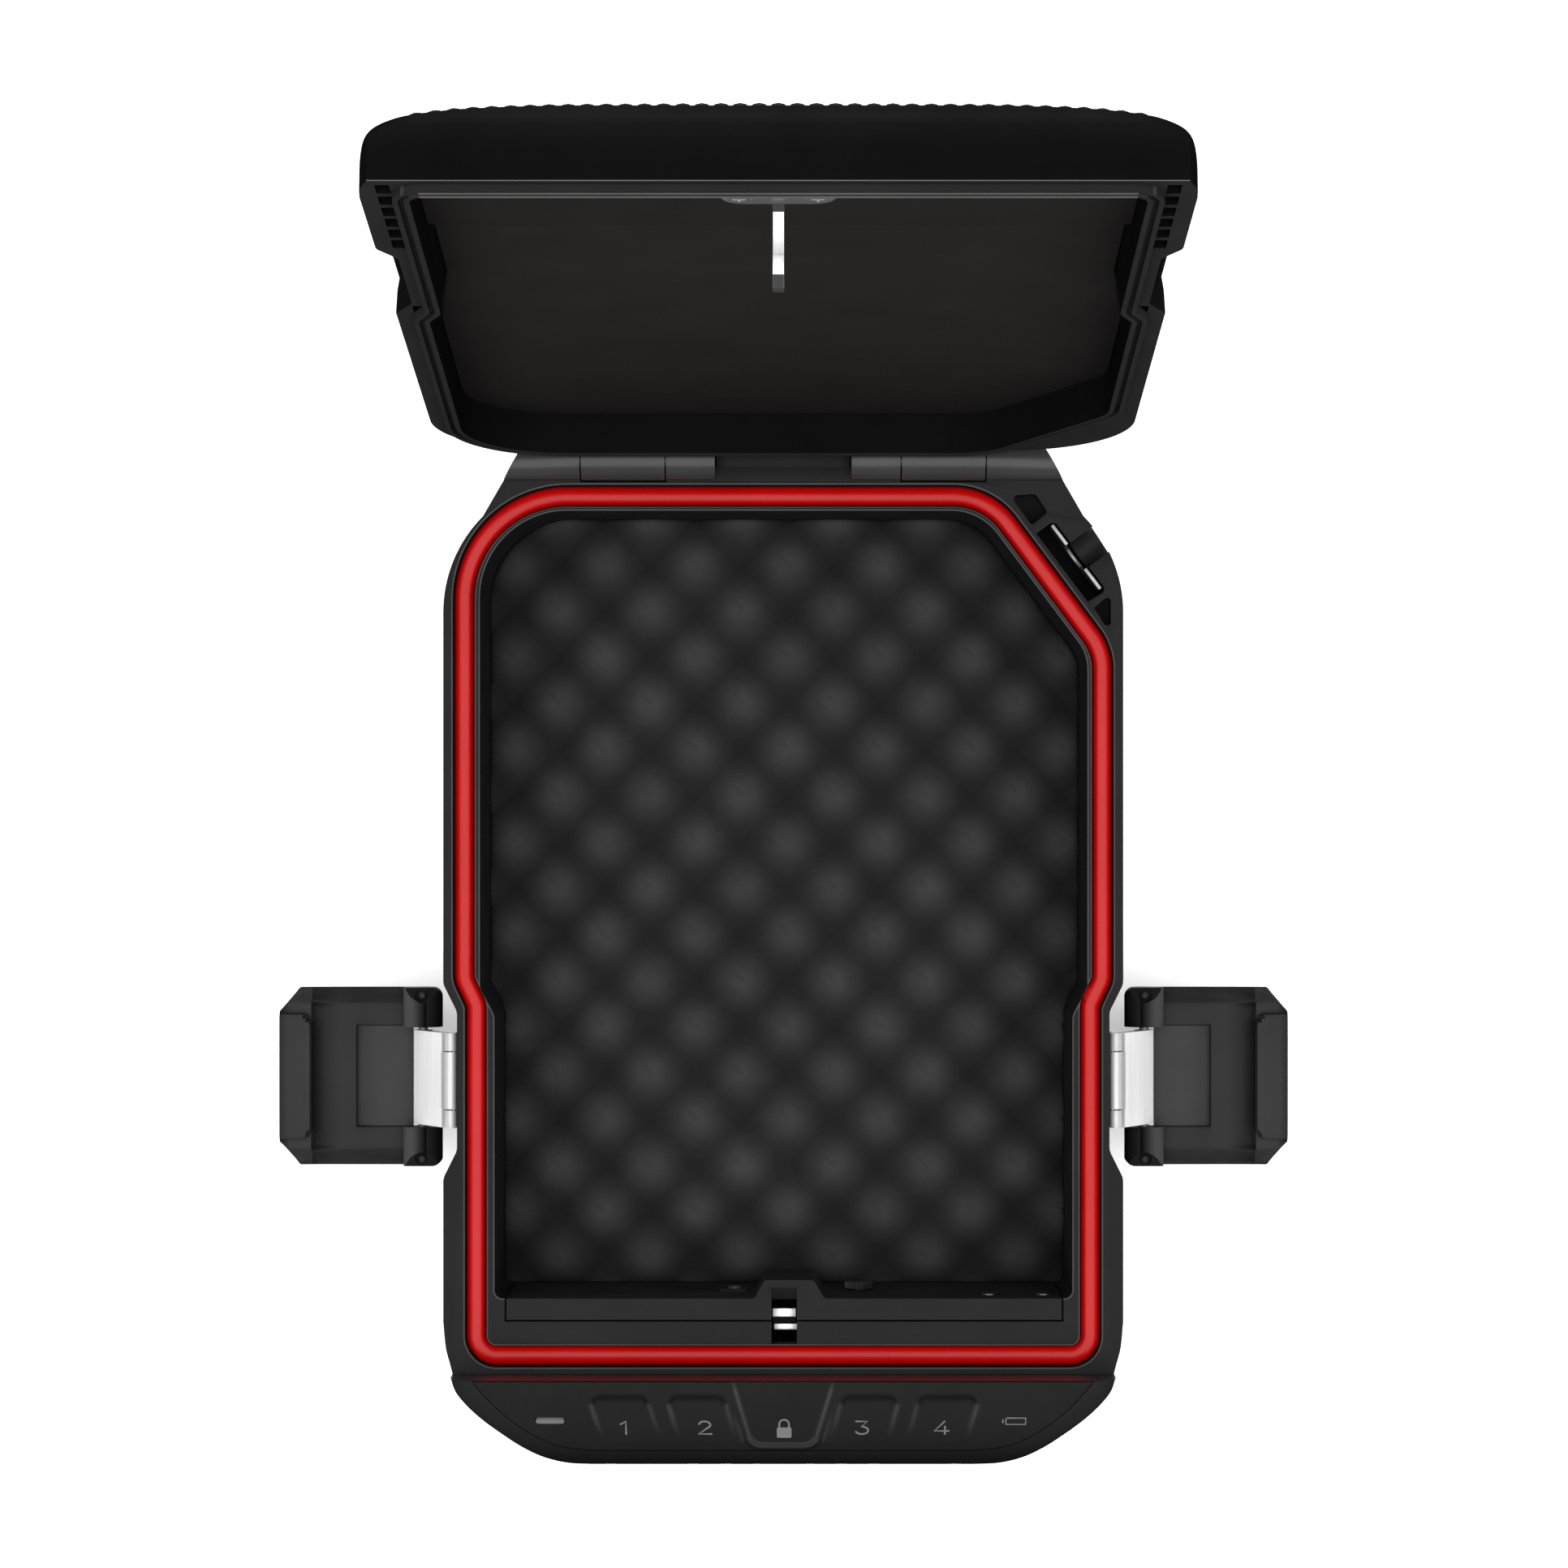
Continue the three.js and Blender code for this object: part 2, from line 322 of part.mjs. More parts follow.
// ------------------------------------------------------------ latches
function latch(s, tag) {
  const place = (m) => (s > 0 ? m : m.mirror([1, 0, 0]));
  const y0 = LATCH_Y;
  // bracket: plate against the notch wall, two knuckles and two tabs
  let br = box(78.75, 79.35, y0 - 11.4, y0 + 11.4, 34.5, 41.2).subtract(box(78, 80, y0 - 7.2, y0 + 7.2, 40.2, 44));
  for (const q of [-1, 1]) {
    const a = q < 0 ? y0 - 11.4 : y0 + 7.2, b = q < 0 ? y0 - 7.2 : y0 + 11.4;
    br = br.add(rod('y', A.r, A.u, A.z, a, b, 12)).add(box(78.75, 80.0, a, b, 40.9, 42.2));
    br = br.add(box(76.4, 78.9, y0 + q * 8 - 2, y0 + q * 8 + 2, 37.2, 38.8));
  }
  br = br.subtract(rod('y', 0.95, A.u, A.z, y0 - 20, y0 + 20, 10));
  piece(group, `latch_bracket_${tag}`, place(br), M.steel);
  piece(group, `latch_pin_${tag}`, place(rod('y', 0.6, A.u, A.z, y0 - 11.3, y0 + 11.3, 8)), M.steel);
  // link: barrel at the base pivot, plate, barrel at the lever pivot
  const L = Math.hypot(B.u - A.u, B.z - A.z), ang = Math.atan2(B.z - A.z, B.u - A.u);
  const g = new THREE.BoxGeometry(L - 2.4, 22.8, 1.0);
  g.translate((L + 0.2) / 2, 0, 0).rotateY(-ang).translate(A.u, y0, A.z);
  let link = rod('y', A.r, A.u, A.z, y0 - 6.85, y0 + 6.85, 12).add(rod('y', 2.3, B.u, B.z, y0 - 11.4, y0 + 11.4, 12));
  link = link.add(solid(g));
  for (const q of [-1, 1]) {
    const a = q < 0 ? y0 - 12 : y0 + 6.85, b = q < 0 ? y0 - 6.85 : y0 + 12;
    link = link.subtract(rod('y', A.r + 0.4, A.u, A.z, a, b, 12));
  }
  const g2 = new THREE.BoxGeometry(2.6, 13.7, 1.0);
  g2.translate(1.6, 0, 0).rotateY(-ang).translate(A.u, y0, A.z);
  link = link.add(solid(g2));
  link = link.subtract(rod('y', 0.95, A.u, A.z, y0 - 20, y0 + 20, 10)).subtract(rod('y', 1.55, B.u, B.z, y0 - 20, y0 + 20, 10));
  piece(group, `latch_link_${tag}`, place(link), M.steel);
  piece(group, `lever_pin_${tag}`, place(rod('y', 1.2, B.u, B.z, y0 - 19.5, y0 + 19.5, 10)), M.steel);
  // lever: side section carried across, trimmed to the plan outline
  const P = (p, q) => [B.u + p, B.z + q];
  const low = [P(0, -4.8), P(22, -4.9), P(28, -4.6), P(32, -3.8), P(34.3, -2.4), P(LEVER.tip, -0.9)];
  const body = alongY([P(2.5, -4.8), ...low.slice(1), P(LEVER.tip, -0.6), P(34.6, -0.3), P(33.6, -0.3), P(LEVER.lip, -2.0), P(2.5, -2.0)], y0 - LEVER.half, y0 + LEVER.half);
  const lip = alongY([P(LEVER.lip, -3.2), P(33.5, -3.2), P(LEVER.tip, -0.9), P(34.9, 0.3), P(33.9, 1.4), P(LEVER.lip, 1.4)], y0 - 15.2, y0 + 15.2);
  const e = LEVER.half, uIn = B.u - 5.0, uTip = B.u + LEVER.tip;
  const plan = prism(rounded([[uIn, y0 + e, 2.4], [uIn, y0 - e, 2.4], [uTip - 4.8, y0 - e, 0.8], [uTip, y0 - e + 5.8, 0.8], [uTip, y0 + e - 5.8, 0.8], [uTip - 4.8, y0 + e, 0.8]], 45), 10, 40);
  let lev = body.add(lip);
  for (const q of [-1, 1]) {
    const a = q < 0 ? y0 - e : y0 + 12.2, b = q < 0 ? y0 - 12.2 : y0 + e;
    lev = lev.add(rod('y', LEVER.boss, B.u, B.z, a, b, 18));
    // bevelled band along each long edge
    const c = y0 + q * e;
    lev = lev.subtract(alongX([[c - q * 4.2, B.z - 2.0], [c + q * 1, B.z - 3.5], [c + q * 1, B.z - 1.9]], B.u + 5.2, B.u + 40));
  }
  lev = lev.intersect(plan);
  lev = lev.subtract(box(B.u - 8, B.u + 2.6, y0 - 12.2, y0 + 12.2, 10, 40));
  lev = lev.subtract(box(B.u + 1.9, B.u + 16.3, y0 - 12.4, y0 + 12.4, B.z - 3.1, 40));
  lev = lev.subtract(rod('y', 1.55, B.u, B.z, y0 - 19.9, y0 + 19.9, 10));
  for (const q of [-1, 1]) lev = lev.subtract(rod('z', 1.15, B.u, y0 + q * 19.9, B.z + 1.9, 40, 10));
  piece(group, `latch_lever_${tag}`, place(lev), M.lever);
  for (const q of [-1, 1]) piece(group, `lever_screw_${tag}_${q < 0 ? 'front' : 'rear'}`, place(rod('z', 0.8, B.u, y0 + q * 19.9, B.z + 2.2, B.z + 3.4, 8)), M.chrome);
}
latch(-1, 'left');
latch(1, 'right');

// ------------------------------------------------------------ lid (closed coordinates about the hinge axis)
const lidGroup = new THREE.Group();
const crown = [[-HALF_W - 1, 0], [HALF_W + 1, 0], [HALF_W, 53.0], [81.2, 54.0], [80.3, 55.2], [78.8, 56.2], [76.2, 57.0], [72.4, 57.9], [68.2, 58.8], [60, 59.8], [45, 60.6], [25, 61.0], [0, 61.15]];
const crownAll = [...crown, ...crown.slice(2, -1).reverse().map(([x, z]) => [-x, z])];
crownAll[0] = [-HALF_W, 0]; crownAll[1] = [HALF_W, 0];
let lid = prism(lidOutline, LID_Z, 66).intersect(alongY(crownAll, -120, 120));
lid = lid.intersect(alongX([[-101.6, 30], [112.6, 30], [112.6, 51], [111.6, 55], [108.5, 58.6], [103, 62], [-98, 62], [-100.4, 61.0], [-101.6, 59.2]], -100, 100));
const lidCavity = inset(sealLine, 2.6);
lid = lid.subtract(prism(rounded(lidCavity), 30, 54.6));
lid = lid.subtract(prism(rounded([[-58, 92, 14], [-58, -84, 8], [58, -84, 8], [58, 92, 14]], 30), 50, 57.2));
lid = lid.add(box(-11.5, 11.5, -96, -84.6, 48.2, 56));                      // boss that carries the hook
lid = lid.add(ring(rounded(inset(sealLine, -TONGUE.half)), rounded(inset(sealLine, TONGUE.half)), LID_Z - TONGUE.h, LID_Z + 1));
lid = lid.subtract(box(-11.8, 11.8, -95.0, -80, 30, 48.2));
for (const s of [-1, 1]) {
  // catch ridge under the latch lip
  const rp = [[77, 47.8], [79.4, 47.8], [80.3, 48.8], [80.3, 51.7], [77, 51.7]];
  lid = lid.add(alongY(s > 0 ? rp : mirrorPts(rp), LATCH_Y - 16.2, LATCH_Y + 16.2));
  // small ribbed pockets in the rim beside the front corners
  for (let i = 0; i < 6; i++) {
    const yc = -58.8 - i * 7.4;
    lid = lid.subtract(box(s > 0 ? 76.3 : -79.3, s > 0 ? 79.3 : -76.3, yc - 2.8, yc + 2.8, 40, LID_Z + 4));
  }
  const x0 = s < 0 ? -48.45 : 28.45, x1 = s < 0 ? -28.45 : 48.45;
  lid = lid.add(knBlock(x0, x1, HINGE.r)).add(alongX([[HINGE.y - 6.2, LID_Z], [HINGE.y - 2.6, LID_Z], [HINGE.y - 1.0, HINGE.z + 4.7], [HINGE.y - 6.2, HINGE.z + 8]], x0, x1));
  lid = lid.subtract(rod('x', PIN_R + 0.35, HINGE.y, HINGE.z, x0 - 1, x1 + 1, 12));
}
// recess for the grip panel
const gripOutline = rounded([[-74.0, 104, 20], [-74.0, -98.6, 3], [74.0, -98.6, 3], [74.0, 104, 20]], 30);
const crownLow = (d) => crownAll.map(([x, z]) => [x, z < 10 ? z : z - d]);
lid = lid.subtract(prism(rounded([[-74.3, 104.3, 20.3], [-74.3, -98.9, 3.3], [74.3, -98.9, 3.3], [74.3, 104.3, 20.3]], 30), 40, 70).subtract(alongY(crownLow(1.3), -130, 130)));
for (const x of [-7.8, 7.8]) lid = lid.subtract(rod('z', 1.55, x, -89.6, 40, 54, 10));
piece(lidGroup, 'lid_shell', lid, M.lid);
let grip = prism(gripOutline, 40, 70).intersect(alongY(crownLow(-0.2), -130, 130)).subtract(alongY(crownLow(1.0), -140, 140));
grip = grip.intersect(alongX([[-101.6, 30], [112.6, 30], [112.6, 51], [111.6, 55], [108.5, 58.6], [103, 62.4], [-98, 62.4], [-101.6, 62.4]], -100, 100));
piece(lidGroup, 'lid_grip_panel', grip, M.pad);
piece(lidGroup, 'lid_liner', prism(rounded(inset(lidCavity, 0.35)), 52.7, 54.2).subtract(box(-12, 12, -97, -84.2, 50, 56)), M.lid);
// hook: flange under two screws and a blade with a throat for the bolt
let hook = box(-11, 11, -94.2, -85.0, 46.4, 47.9).add(box(-3.2, 3.1, -86, -81.7, 46.4, 47.9));
hook = hook.add(box(-1.15, 1.05, -86.0, -81.7, 28.9, 47.0)).subtract(alongX([[-87, 28], [-84.6, 28.2], [-87, 30.6]], -5, 5));
hook = hook.subtract(box(-3, 3, -87, -83.2, 34.9, 38.4));
for (const x of [-7.8, 7.8]) hook = hook.subtract(rod('z', 1.55, x, -89.6, 40, 54, 10));
piece(lidGroup, 'strike_hook', hook, M.steel);
for (const x of [-7.8, 7.8]) {
  piece(lidGroup, x < 0 ? 'hook_screw_left' : 'hook_screw_right', rod('z', 2.7, x, -89.6, 45.35, 46.1, 14).add(rod('z', 1.2, x, -89.6, 46.0, 53, 10)), M.chrome);
}
// turn the closed lid about the hinge axis
const pivot = new THREE.Group();
pivot.position.set(0, HINGE.y, HINGE.z);
pivot.rotation.set(-LID_OPEN * RAD, 0, 0);
lidGroup.position.set(0, -HINGE.y, -HINGE.z);
pivot.add(lidGroup);
group.add(pivot);

export default group;
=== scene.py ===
# Portable lock box, open: moulded shells, rim seal, egg-crate foam, keypad nose,
# draw latches, hinge, hook and cable anchor. Lengths below are in millimetres
# until a mesh is finished, where they become metres.
import math

import bpy
import numpy as np
from mathutils import Matrix, Vector
from mathutils.geometry import delaunay_2d_cdt


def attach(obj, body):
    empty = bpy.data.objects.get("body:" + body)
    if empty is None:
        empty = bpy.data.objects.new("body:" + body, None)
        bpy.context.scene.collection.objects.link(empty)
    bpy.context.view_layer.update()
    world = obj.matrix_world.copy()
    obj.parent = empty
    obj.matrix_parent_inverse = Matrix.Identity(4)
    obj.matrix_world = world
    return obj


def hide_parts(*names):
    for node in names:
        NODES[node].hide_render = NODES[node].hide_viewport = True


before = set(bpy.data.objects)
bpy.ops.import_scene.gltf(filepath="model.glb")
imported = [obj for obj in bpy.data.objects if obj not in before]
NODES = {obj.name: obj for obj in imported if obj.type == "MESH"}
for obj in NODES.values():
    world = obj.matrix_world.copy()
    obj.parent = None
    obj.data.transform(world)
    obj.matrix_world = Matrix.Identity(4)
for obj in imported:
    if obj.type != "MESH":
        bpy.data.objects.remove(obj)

bpy.context.view_layer.update()
MM = 0.001
RAD = math.pi / 180
scene = bpy.context.scene


# ---------------------------------------------------------------- outlines
def rounded(corners, step=5.0):
    """Outline from corners (x, y, r), corner arcs cut every `step` degrees."""
    out, n = [], len(corners)
    for i in range(n):
        p, c, q = corners[i - 1], corners[i], corners[(i + 1) % n]
        r = c[2] if len(c) > 2 else 0
        a = np.array([c[0] - p[0], c[1] - p[1]], float)
        b = np.array([q[0] - c[0], q[1] - c[1]], float)
        a /= np.linalg.norm(a)
        b /= np.linalg.norm(b)
        turn = math.atan2(a[0] * b[1] - a[1] * b[0], a @ b)
        if r < 0.05 or abs(turn) < 0.02:
            out.append((c[0], c[1]))
            continue
        t, s = r * math.tan(abs(turn) / 2), math.copysign(1, turn)
        cx, cy = c[0] - a[0] * t - a[1] * s * r, c[1] - a[1] * t + a[0] * s * r
        a0 = math.atan2(c[1] - a[1] * t - cy, c[0] - a[0] * t - cx)
        k = max(1, round(abs(turn) / (step * RAD)))
        for j in range(k + 1):
            w = a0 + turn * j / k
            out.append((cx + r * math.cos(w), cy + r * math.sin(w)))
    return out


def inset(corners, d):
    n, lines, out = len(corners), [], []
    for i in range(n):
        p, q = corners[i], corners[(i + 1) % n]
        tx, ty = q[0] - p[0], q[1] - p[1]
        m = math.hypot(tx, ty)
        tx, ty = tx / m, ty / m
        lines.append((p[0] - ty * d, p[1] + tx * d, tx, ty))
    for i, c in enumerate(corners):
        a, b = lines[i - 1], lines[i]
        det = a[2] * b[3] - a[3] * b[2]
        s = ((b[0] - a[0]) * b[3] - (b[1] - a[1]) * b[2]) / det
        r = (c[2] if len(c) > 2 else 0) - d * math.copysign(1, det)
        out.append((a[0] + a[2] * s, a[1] + a[3] * s, max(r, 0.3) if len(c) > 2 and c[2] else 0))
    return out


def offset(pts, d):
    """Moves a closed outline inwards by d (points keep their count)."""
    p = np.array(pts, float)
    e = np.roll(p, -1, 0) - p
    e /= np.maximum(np.linalg.norm(e, axis=1, keepdims=True), 1e-9)
    nrm = np.stack([-e[:, 1], e[:, 0]], 1)
    m = nrm + np.roll(nrm, 1, 0)
    m /= np.maximum((m * nrm).sum(1, keepdims=True), 0.25)
    return [tuple(v) for v in p + m * d]


def mirror(pts):
    return [(-x, y) for x, y in pts][::-1]


def arc(cx, cy, r, a0, a1, n):
    return [(cx + r * math.cos((a0 + (a1 - a0) * i / n) * RAD), cy + r * math.sin((a0 + (a1 - a0) * i / n) * RAD)) for i in range(n + 1)]


def spline(pts, n=5):
    """Catmull-Rom curve through open points, n steps a span."""
    p = [np.array(v, float) for v in pts]
    p = [2 * p[0] - p[1]] + p + [2 * p[-1] - p[-2]]
    out = []
    for i in range(1, len(p) - 2):
        for j in range(n):
            t = j / n
            a, b, c, d = p[i - 1:i + 3]
            out.append(tuple(0.5 * (2 * b + (c - a) * t + (2 * a - 5 * b + 4 * c - d) * t * t + (3 * b - a - 3 * c + d) * t ** 3)))
    out.append(tuple(p[-2]))
    return out


def smoothstep(a, b, x):
    t = np.clip((x - a) / (b - a), 0, 1)
    return t * t * (3 - 2 * t)


def inside(poly, x, y):
    poly = np.asarray(poly, float)
    x0, y0 = poly[:, 0], poly[:, 1]
    x1, y1 = np.roll(x0, -1), np.roll(y0, -1)
    res = np.zeros(len(x), bool)
    for a, b, c, d in zip(x0, y0, x1, y1):
        hit = ((b > y) != (d > y)) & (x < (c - a) * (y - b) / ((d - b) if d != b else 1e-12) + a)
        res ^= hit
    return res


def edge_dist(poly, x, y, closed=True):
    poly = np.asarray(poly, float)
    a = poly if closed else poly[:-1]
    b = np.roll(poly, -1, 0) if closed else poly[1:]
    best = np.full(len(x), 1e9)
    for (ax, ay), (bx, by) in zip(a, b):
        ex, ey = bx - ax, by - ay
        m = ex * ex + ey * ey
        if m < 1e-12:
            continue
        t = np.clip(((x - ax) * ex + (y - ay) * ey) / m, 0, 1)
        best = np.minimum(best, np.hypot(x - ax - t * ex, y - ay - t * ey))
    return best


def signed(poly, x, y):
    """Distance to the outline, positive inside."""
    x, y = np.asarray(x, float), np.asarray(y, float)
    return np.where(inside(poly, x, y), 1, -1) * edge_dist(poly, x, y)


def densify(pts, step, closed=True):
    out, n = [], len(pts)
    for i in range(n if closed else n - 1):
        a, b = pts[i], pts[(i + 1) % n]
        k = max(1, int(math.hypot(b[0] - a[0], b[1] - a[1]) / step + 0.5))
        out += [(a[0] + (b[0] - a[0]) * j / k, a[1] + (b[1] - a[1]) * j / k) for j in range(k)]
    return out if closed else out + [pts[-1]]


def fill(outer, holes=(), pts=(), step=1.0):
    """Triangles of a plan region: outer outline, hole outlines, inner points."""
    loops = [densify(outer, step)] + [densify(h, step) for h in holes]
    verts, edges = [], []
    for lp in loops:
        k = len(verts)
        verts += lp
        edges += [(k + i, k + (i + 1) % len(lp)) for i in range(len(lp))]
    if len(pts):
        x, y = np.array([p[0] for p in pts]), np.array([p[1] for p in pts])
        keep = signed(loops[0], x, y) > step * 0.35
        for lp in loops[1:]:
            keep &= signed(lp, x, y) < -step * 0.35
        verts += [(float(a), float(b)) for a, b in zip(x[keep], y[keep])]
    res = delaunay_2d_cdt([Vector(v) for v in verts], edges, [], 0, 1e-6)
    v = np.array([(p.x, p.y) for p in res[0]])
    f = np.array([t for t in res[2]])
    c = v[f].mean(1)
    ok = inside(loops[0], c[:, 0], c[:, 1])
    for lp in loops[1:]:
        ok &= ~inside(lp, c[:, 0], c[:, 1])
    f = f[ok]
    a, b, d = v[f[:, 0]], v[f[:, 1]], v[f[:, 2]]
    area = (b[:, 0] - a[:, 0]) * (d[:, 1] - a[:, 1]) - (b[:, 1] - a[:, 1]) * (d[:, 0] - a[:, 0])
    f = f[np.abs(area) > 1e-7]
    area = area[np.abs(area) > 1e-7]
    f[area < 0] = f[area < 0][:, ::-1]
    return v, f


def grid(x0, x1, y0, y1, step):
    xs, ys = np.meshgrid(np.arange(x0, x1, step), np.arange(y0, y1, step * 0.866))
    xs = xs + (np.arange(len(ys)) % 2)[:, None] * step / 2
    return list(zip(xs.ravel(), ys.ravel()))


def plate(v, f, top, bottom):
    """Closed sheet over a plan triangulation: top and bottom are (n, 3) points."""
    n = len(v)
    verts = np.vstack([top, bottom])
    faces = [tuple(t) for t in f] + [tuple(int(i) + n for i in t[::-1]) for t in f]
    seen = {}
    for t in f:
        for i in range(3):
            seen[(int(t[i]), int(t[(i + 1) % 3]))] = 1
    for (a, b) in seen:
        if (b, a) not in seen:
            faces.append((a, a + n, b + n, b))
    return verts, [tuple(int(i) for i in t) for t in faces]


# ---------------------------------------------------------------- mesh helpers
def raw(verts, faces, name="tmp"):
    me = bpy.data.meshes.new(name)
    me.from_pydata([tuple(map(float, v)) for v in verts], [], faces)
    me.update()
    o = bpy.data.objects.new(name, me)
    scene.collection.objects.link(o)
    return o


def loft(rings):
    """Closed body through rings of equal count, flat ends."""
    n, verts, faces = len(rings[0]), [], []
    for r in rings:
        verts += r
    for k in range(len(rings) - 1):
        for i in range(n):
            j = (i + 1) % n
            faces.append((k * n + i, k * n + j, (k + 1) * n + j, (k + 1) * n + i))
    faces.append(tuple(range(n))[::-1])
    faces.append(tuple((len(rings) - 1) * n + i for i in range(n)))
    return raw(verts, faces)


def prism(pts, z0, z1):
    return loft([[(x, y, z0) for x, y in pts], [(x, y, z1) for x, y in pts]])


def along_x(pts, x0, x1):
    return loft([[(x0, y, z) for y, z in pts], [(x1, y, z) for y, z in pts]])


def along_y(pts, y0, y1):
    return loft([[(x, y1, z) for x, z in pts], [(x, y0, z) for x, z in pts]])


def box(x0, x1, y0, y1, z0, z1):
    return prism([(x0, y0), (x1, y0), (x1, y1), (x0, y1)], z0, z1)


def rod(axis, r, a, b, c0, c1, n=48):
    c = [(r * math.cos(2 * math.pi * i / n), r * math.sin(2 * math.pi * i / n)) for i in range(n)]
    if axis == "x":
        return loft([[(t, a + u, b + v) for u, v in c] for t in (c0, c1)])
    if axis == "y":
        return loft([[(a + v, t, b + u) for u, v in c] for t in (c0, c1)])
    return loft([[(a + u, b + v, t) for u, v in c] for t in (c0, c1)])


def boolean(a, b, op):
    m = a.modifiers.new("op", "BOOLEAN")
    m.operation, m.solver, m.object = op, "MANIFOLD", b
    dg = bpy.context.evaluated_depsgraph_get()
    me = bpy.data.meshes.new_from_object(a.evaluated_get(dg))
    old, old_b = a.data, b.data
    a.modifiers.clear()
    a.data = me
    bpy.data.meshes.remove(old)
    bpy.data.objects.remove(b)
    bpy.data.meshes.remove(old_b)
    if not len(me.polygons):
        raise RuntimeError("an empty boolean result")
    return a


def cut(a, *bs):
    for b in bs:
        boolean(a, b, "DIFFERENCE")
    return a


def add(a, *bs):
    for b in bs:
        boolean(a, b, "UNION")
    return a


def common(a, *bs):
    for b in bs:
        boolean(a, b, "INTERSECT")
    return a


def bake(o, *mods):
    for kind, kw in mods:
        m = o.modifiers.new(kind, kind)
        for k, v in kw.items():
            setattr(m, k, v)
    dg = bpy.context.evaluated_depsgraph_get()
    me = bpy.data.meshes.new_from_object(o.evaluated_get(dg))
    old = o.data
    o.modifiers.clear()
    o.data = me
    bpy.data.meshes.remove(old)
    return o


def soften(o, width=0.3, seg=2, angle=32, dissolve=1.0, weld=0.002):
    """Merges flat neighbours and rounds the sharp edges of a finished body (mm).
    The rounded edges take the second material, a lighter copy that paints a highlight."""
    o.data.materials.clear()
    for m in ("shell", "edge"):
        o.data.materials.append(MAT[m])
    bake(o, ("WELD", dict(merge_threshold=0.0005)),
         ("DECIMATE", dict(decimate_type="DISSOLVE", angle_limit=dissolve * RAD)),
         ("BEVEL", dict(width=width, segments=seg, limit_method="ANGLE", angle_limit=angle * RAD, material=1,
                        use_clamp_overlap=True, miter_outer="MITER_ARC", harden_normals=False)))
    return bake(o, ("WELD", dict(merge_threshold=weld))) if weld else o


def faces_of(o):
    """Centres, normals and material indices of a mesh's faces."""
    n = len(o.data.polygons)
    c, m, k = np.empty(n * 3), np.empty(n * 3), np.empty(n, int)
    o.data.polygons.foreach_get("center", c)
    o.data.polygons.foreach_get("normal", m)
    o.data.polygons.foreach_get("material_index", k)
    return c.reshape(-1, 3), m.reshape(-1, 3), k


def paint(o, values):
    """Painted light and shade on a moulded surface: a factor at each vertex that the material multiplies into its
    colour.
    """
    a = o.data.attributes.new("painted_light_tone", "FLOAT", "POINT")
    a.data.foreach_set("value", np.asarray(values, float))


def finish_mesh(o, name, material, body, replaces=(), sharp=35, scale=MM, turn=None):
    me = o.data
    if turn is not None:
        me.transform(turn)
    me.transform(Matrix.Scale(scale, 4))
    me.polygons.foreach_set("use_smooth", [True] * len(me.polygons))
    me.set_sharp_from_angle(angle=sharp * RAD)
    mats = list(material) if isinstance(material, (list, tuple)) else [material]
    idx = np.minimum(faces_of(o)[2], len(mats) - 1)
    me.materials.clear()
    for m in mats:
        me.materials.append(m)
    me.polygons.foreach_set("material_index", idx)
    me.name = o.name = name
    me.update()
    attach(o, body)
    if replaces:
        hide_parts(*replaces)
    return o


# ---------------------------------------------------------------- materials
def socket(node, *names):
    for n in names:
        if n in node.inputs:
            return node.inputs[n]
    return None


